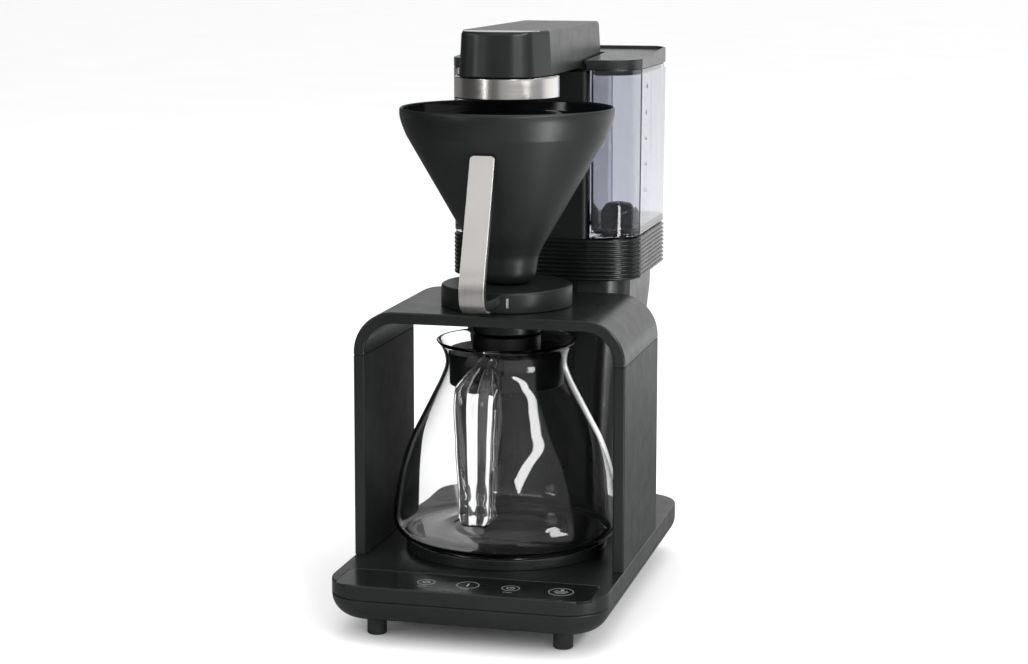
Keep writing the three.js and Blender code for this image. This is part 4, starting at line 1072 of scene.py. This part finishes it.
# ---- arm and spout ----
NOSE_Y, ARM_CREASE_Y, ARM_HALF, ARM_REAR_HALF = AXIS_Y - 44.7, AXIS_Y - 4.5, 36, 34
ARM_TOP, BADGE_REAR_Y = 443.4, -66


def arm_outline(draft):
    """Sides that close in to the rear, a crease at each side and a blunt nose over the cone."""
    right = [(14, NOSE_Y + 1.6, 25), (27.5, NOSE_Y + 6.7, 19), (ARM_HALF, ARM_CREASE_Y, 0.8)]
    for k in range(1, 8):
        f = k / 8
        right.append((ARM_HALF + (ARM_REAR_HALF - ARM_HALF) * f,
                      ARM_CREASE_Y + (COLUMN_REAR_Y - ARM_CREASE_Y) * f, 0))
    right.append((ARM_REAR_HALF, COLUMN_REAR_Y, 0.8))
    return filleted(inset_plan([(0, NOSE_Y, 60), *both_sides(right)], draft), True, 8)


arm_profile = [(2.6, 409.6), (0.3, 409.6), (0, 410), (0, 410.6), (0.9, 424), (1.75, 440.4),
               (2.0, 441.7), (2.5, 442.7), (3.2, 443.3), (4, ARM_TOP)]
arm = stacked("arm_cover", arm_outline, arm_profile, sharp=24)


def badge_outline(inset):
    """A plate whose front follows the arm's nose, ending in a straight line across the arm."""
    right = [(13, NOSE_Y + 6.2, 24), (24, NOSE_Y + 10.4, 12), (30.6, BADGE_REAR_Y, 2.5)]
    return filleted(inset_plan([(0, NOSE_Y + 4.8, 60), *both_sides(right)], inset), True, 8)


well = stacked("well", badge_outline, [(-0.25, 442.9), (-0.25, 446)])
black(combine(arm, [well], sharp=24), "frame", mat_arm, "arm_shell")
badge = stacked("arm_badge", badge_outline, [
    (0.6, 442.9), (0, 442.95), (0, 443.2), (0.3, 443.38), (1.5, ARM_TOP)], sharp=30)
place(badge, "frame", "satin_steel", mat_badge)

under = stacked("arm_floor", lambda i: arm_outline(i + 2.9), [
    (0.3, 409.9), (0, 410.1), (0, 412.1), (0.3, 412.3)])
spout_hole = rod("hole", 12.5, 405, 416, sides=48)
black(combine(under, [spout_hole]), "frame", mat_inner, "arm_underplate")

ring = filleted([
    (38, 392), (39.2, 392, 0.3), (40, 393, 0.9), (40, 408.4, 0.9), (38, 409.2)], True, 6)
place(lathe("spout_band", ring, closed=True, sides=160), "frame", "satin_steel", mat_ring,
      "spout_ring")
repaint(mat_inner, "spout_rotor")
repaint(mat_brass, "motor_pinion")
repaint(mat_dark_metal, "spout_motor", "plate_heater", "heater_bracket")
repaint(mat_bright, "flow_heater", "tray_screw_1", "tray_screw_2", "tray_screw_3", "tray_screw_4")
repaint(mat_silicone, "thermal_fuse", "riser_tube", "supply_hose")
repaint(mat_inner, "pump")
repaint(mat_board, "touch_board", "control_board")


# ---- floor, light and world ----
floor_mesh = bpy.data.meshes.new("floor")
FAR = 60
floor_mesh.from_pydata([(-FAR, -FAR, 0), (FAR, -FAR, 0), (FAR, FAR, 0), (-FAR, FAR, 0)], [],
                       [(0, 1, 2, 3)])
floor = new_object("floor", floor_mesh)
pale = Nodes("pale_floor")
tone = pale.spread(pale.noise(3, 3, 0.5), 0.3, 0.7, 0.93, 0.95)
spot = pale.add("SeparateXYZ", {0: pale.place})
# Reflections see painted light on the floor behind the object and painted shade in front and on the
# left.
painted_light_and_shade = pale.maths("MULTIPLY", pale.spread(spot.outputs["Y"], 0.5, 1.9, 0.32, 1.15),
                 pale.spread(spot.outputs["X"], -0.5, 0.0, 0.2, 1.0))
# The painted light and shade is applied only to what reflections see of the floor.
change = pale.maths("MULTIPLY", pale.mirrored(), pale.maths("SUBTRACT", painted_light_and_shade, 1.0))
floor_mesh.materials.append(pale.finish(
    pale.maths("MULTIPLY", tone, pale.maths("ADD", change, 1.0)), Roughness=0.6,
    Specular_IOR_Level=0.2))


def softbox(name, place_at, aim, width, height, power):
    data = bpy.data.lights.new(name, "AREA")
    data.shape = "RECTANGLE"
    data.size, data.size_y = width, height
    data.energy = power
    light = new_object(name, data)
    light.location = place_at
    light.rotation_euler = (Vector(aim) - Vector(place_at)).to_track_quat("-Z", "Z").to_euler()
    return light


KEY = radians(57)
KEY_REACH, KEY_Z = 2.2, 1.75


def towards_key(reach, z):
    return reach * sin(KEY), -reach * cos(KEY), z


softbox("key_right", towards_key(KEY_REACH, KEY_Z), (0, -0.02, KEY_Z), 0.42, 3.4, 50)
# The key runs on over the floor, so that upright walls mirror it too.
for label, near, far, width, power in (("far", 0.95, KEY_REACH, 0.3, 17),
                                       ("near", 0.42, 0.95, 0.13, 3.1)):
    middle = towards_key((near + far) / 2, 0.004)
    low = softbox("key_low_" + label, middle, (0, 0, 9), width, far - near, power)
    low.rotation_euler = (pi, 0, KEY)
    low.visible_camera = low.visible_transmission = False
softbox("edge_left", (-1.5, -1.5, 0.9), (0, -0.02, 0.6), 0.4, 1.6, 6.5)
softbox("top", (0.1, 0.3, 2.2), (0, 0, 0.2), 1.8, 1.8, 14)
softbox("handle_fill", (-0.42, -1.65, 1.36), (0, -0.15, 0.3), 0.9, 0.6, 1.7)

world = bpy.data.worlds.new("studio")
scene.world = world
world.use_nodes = True
world.node_tree.nodes.clear()
sky = Tree(world.node_tree)
SOFT_LIGHT = 1.12
# Reflections see a studio that is brightest behind, dimmer in front and flagged off on the left.
axes = sky.add("SeparateXYZ", {0: sky.add("TexCoord").outputs["Generated"]})
to_right, to_rear, up = axes.outputs


def along(axis, scale=1.0):
    """How far the view points along the axis, times the scale, and 0 where that is negative."""
    return sky.maths("MAXIMUM", sky.maths("MULTIPLY", axis, scale), 0.0)


studio = sky.maths("POWER", along(to_rear), 5.0)
for part, share in ((along(to_rear, -1.0), 0.16), (along(to_right), 0.15), (along(up), 0.25)):
    studio = sky.maths("ADD", studio, sky.maths("MULTIPLY", part, share))
studio = sky.maths("ADD", studio, 0.1)
leftwards = sky.maths("MINIMUM", along(to_right, -1.3), 1.0)
flag = sky.maths("SUBTRACT", 1.0, sky.maths("MULTIPLY", leftwards, 0.9))
studio = sky.maths("MULTIPLY", studio, flag)
strength = sky.add("Mix", {0: sky.mirrored(), 2: SOFT_LIGHT, 3: studio}, data_type="FLOAT")
backdrop = sky.add("Background", {"Color": (1, 1, 1, 1), "Strength": strength.outputs[0]})
sky.add("OutputWorld", {"Surface": backdrop.outputs[0]})

scene.view_settings.view_transform = "Standard"
scene.view_settings.look = "None"
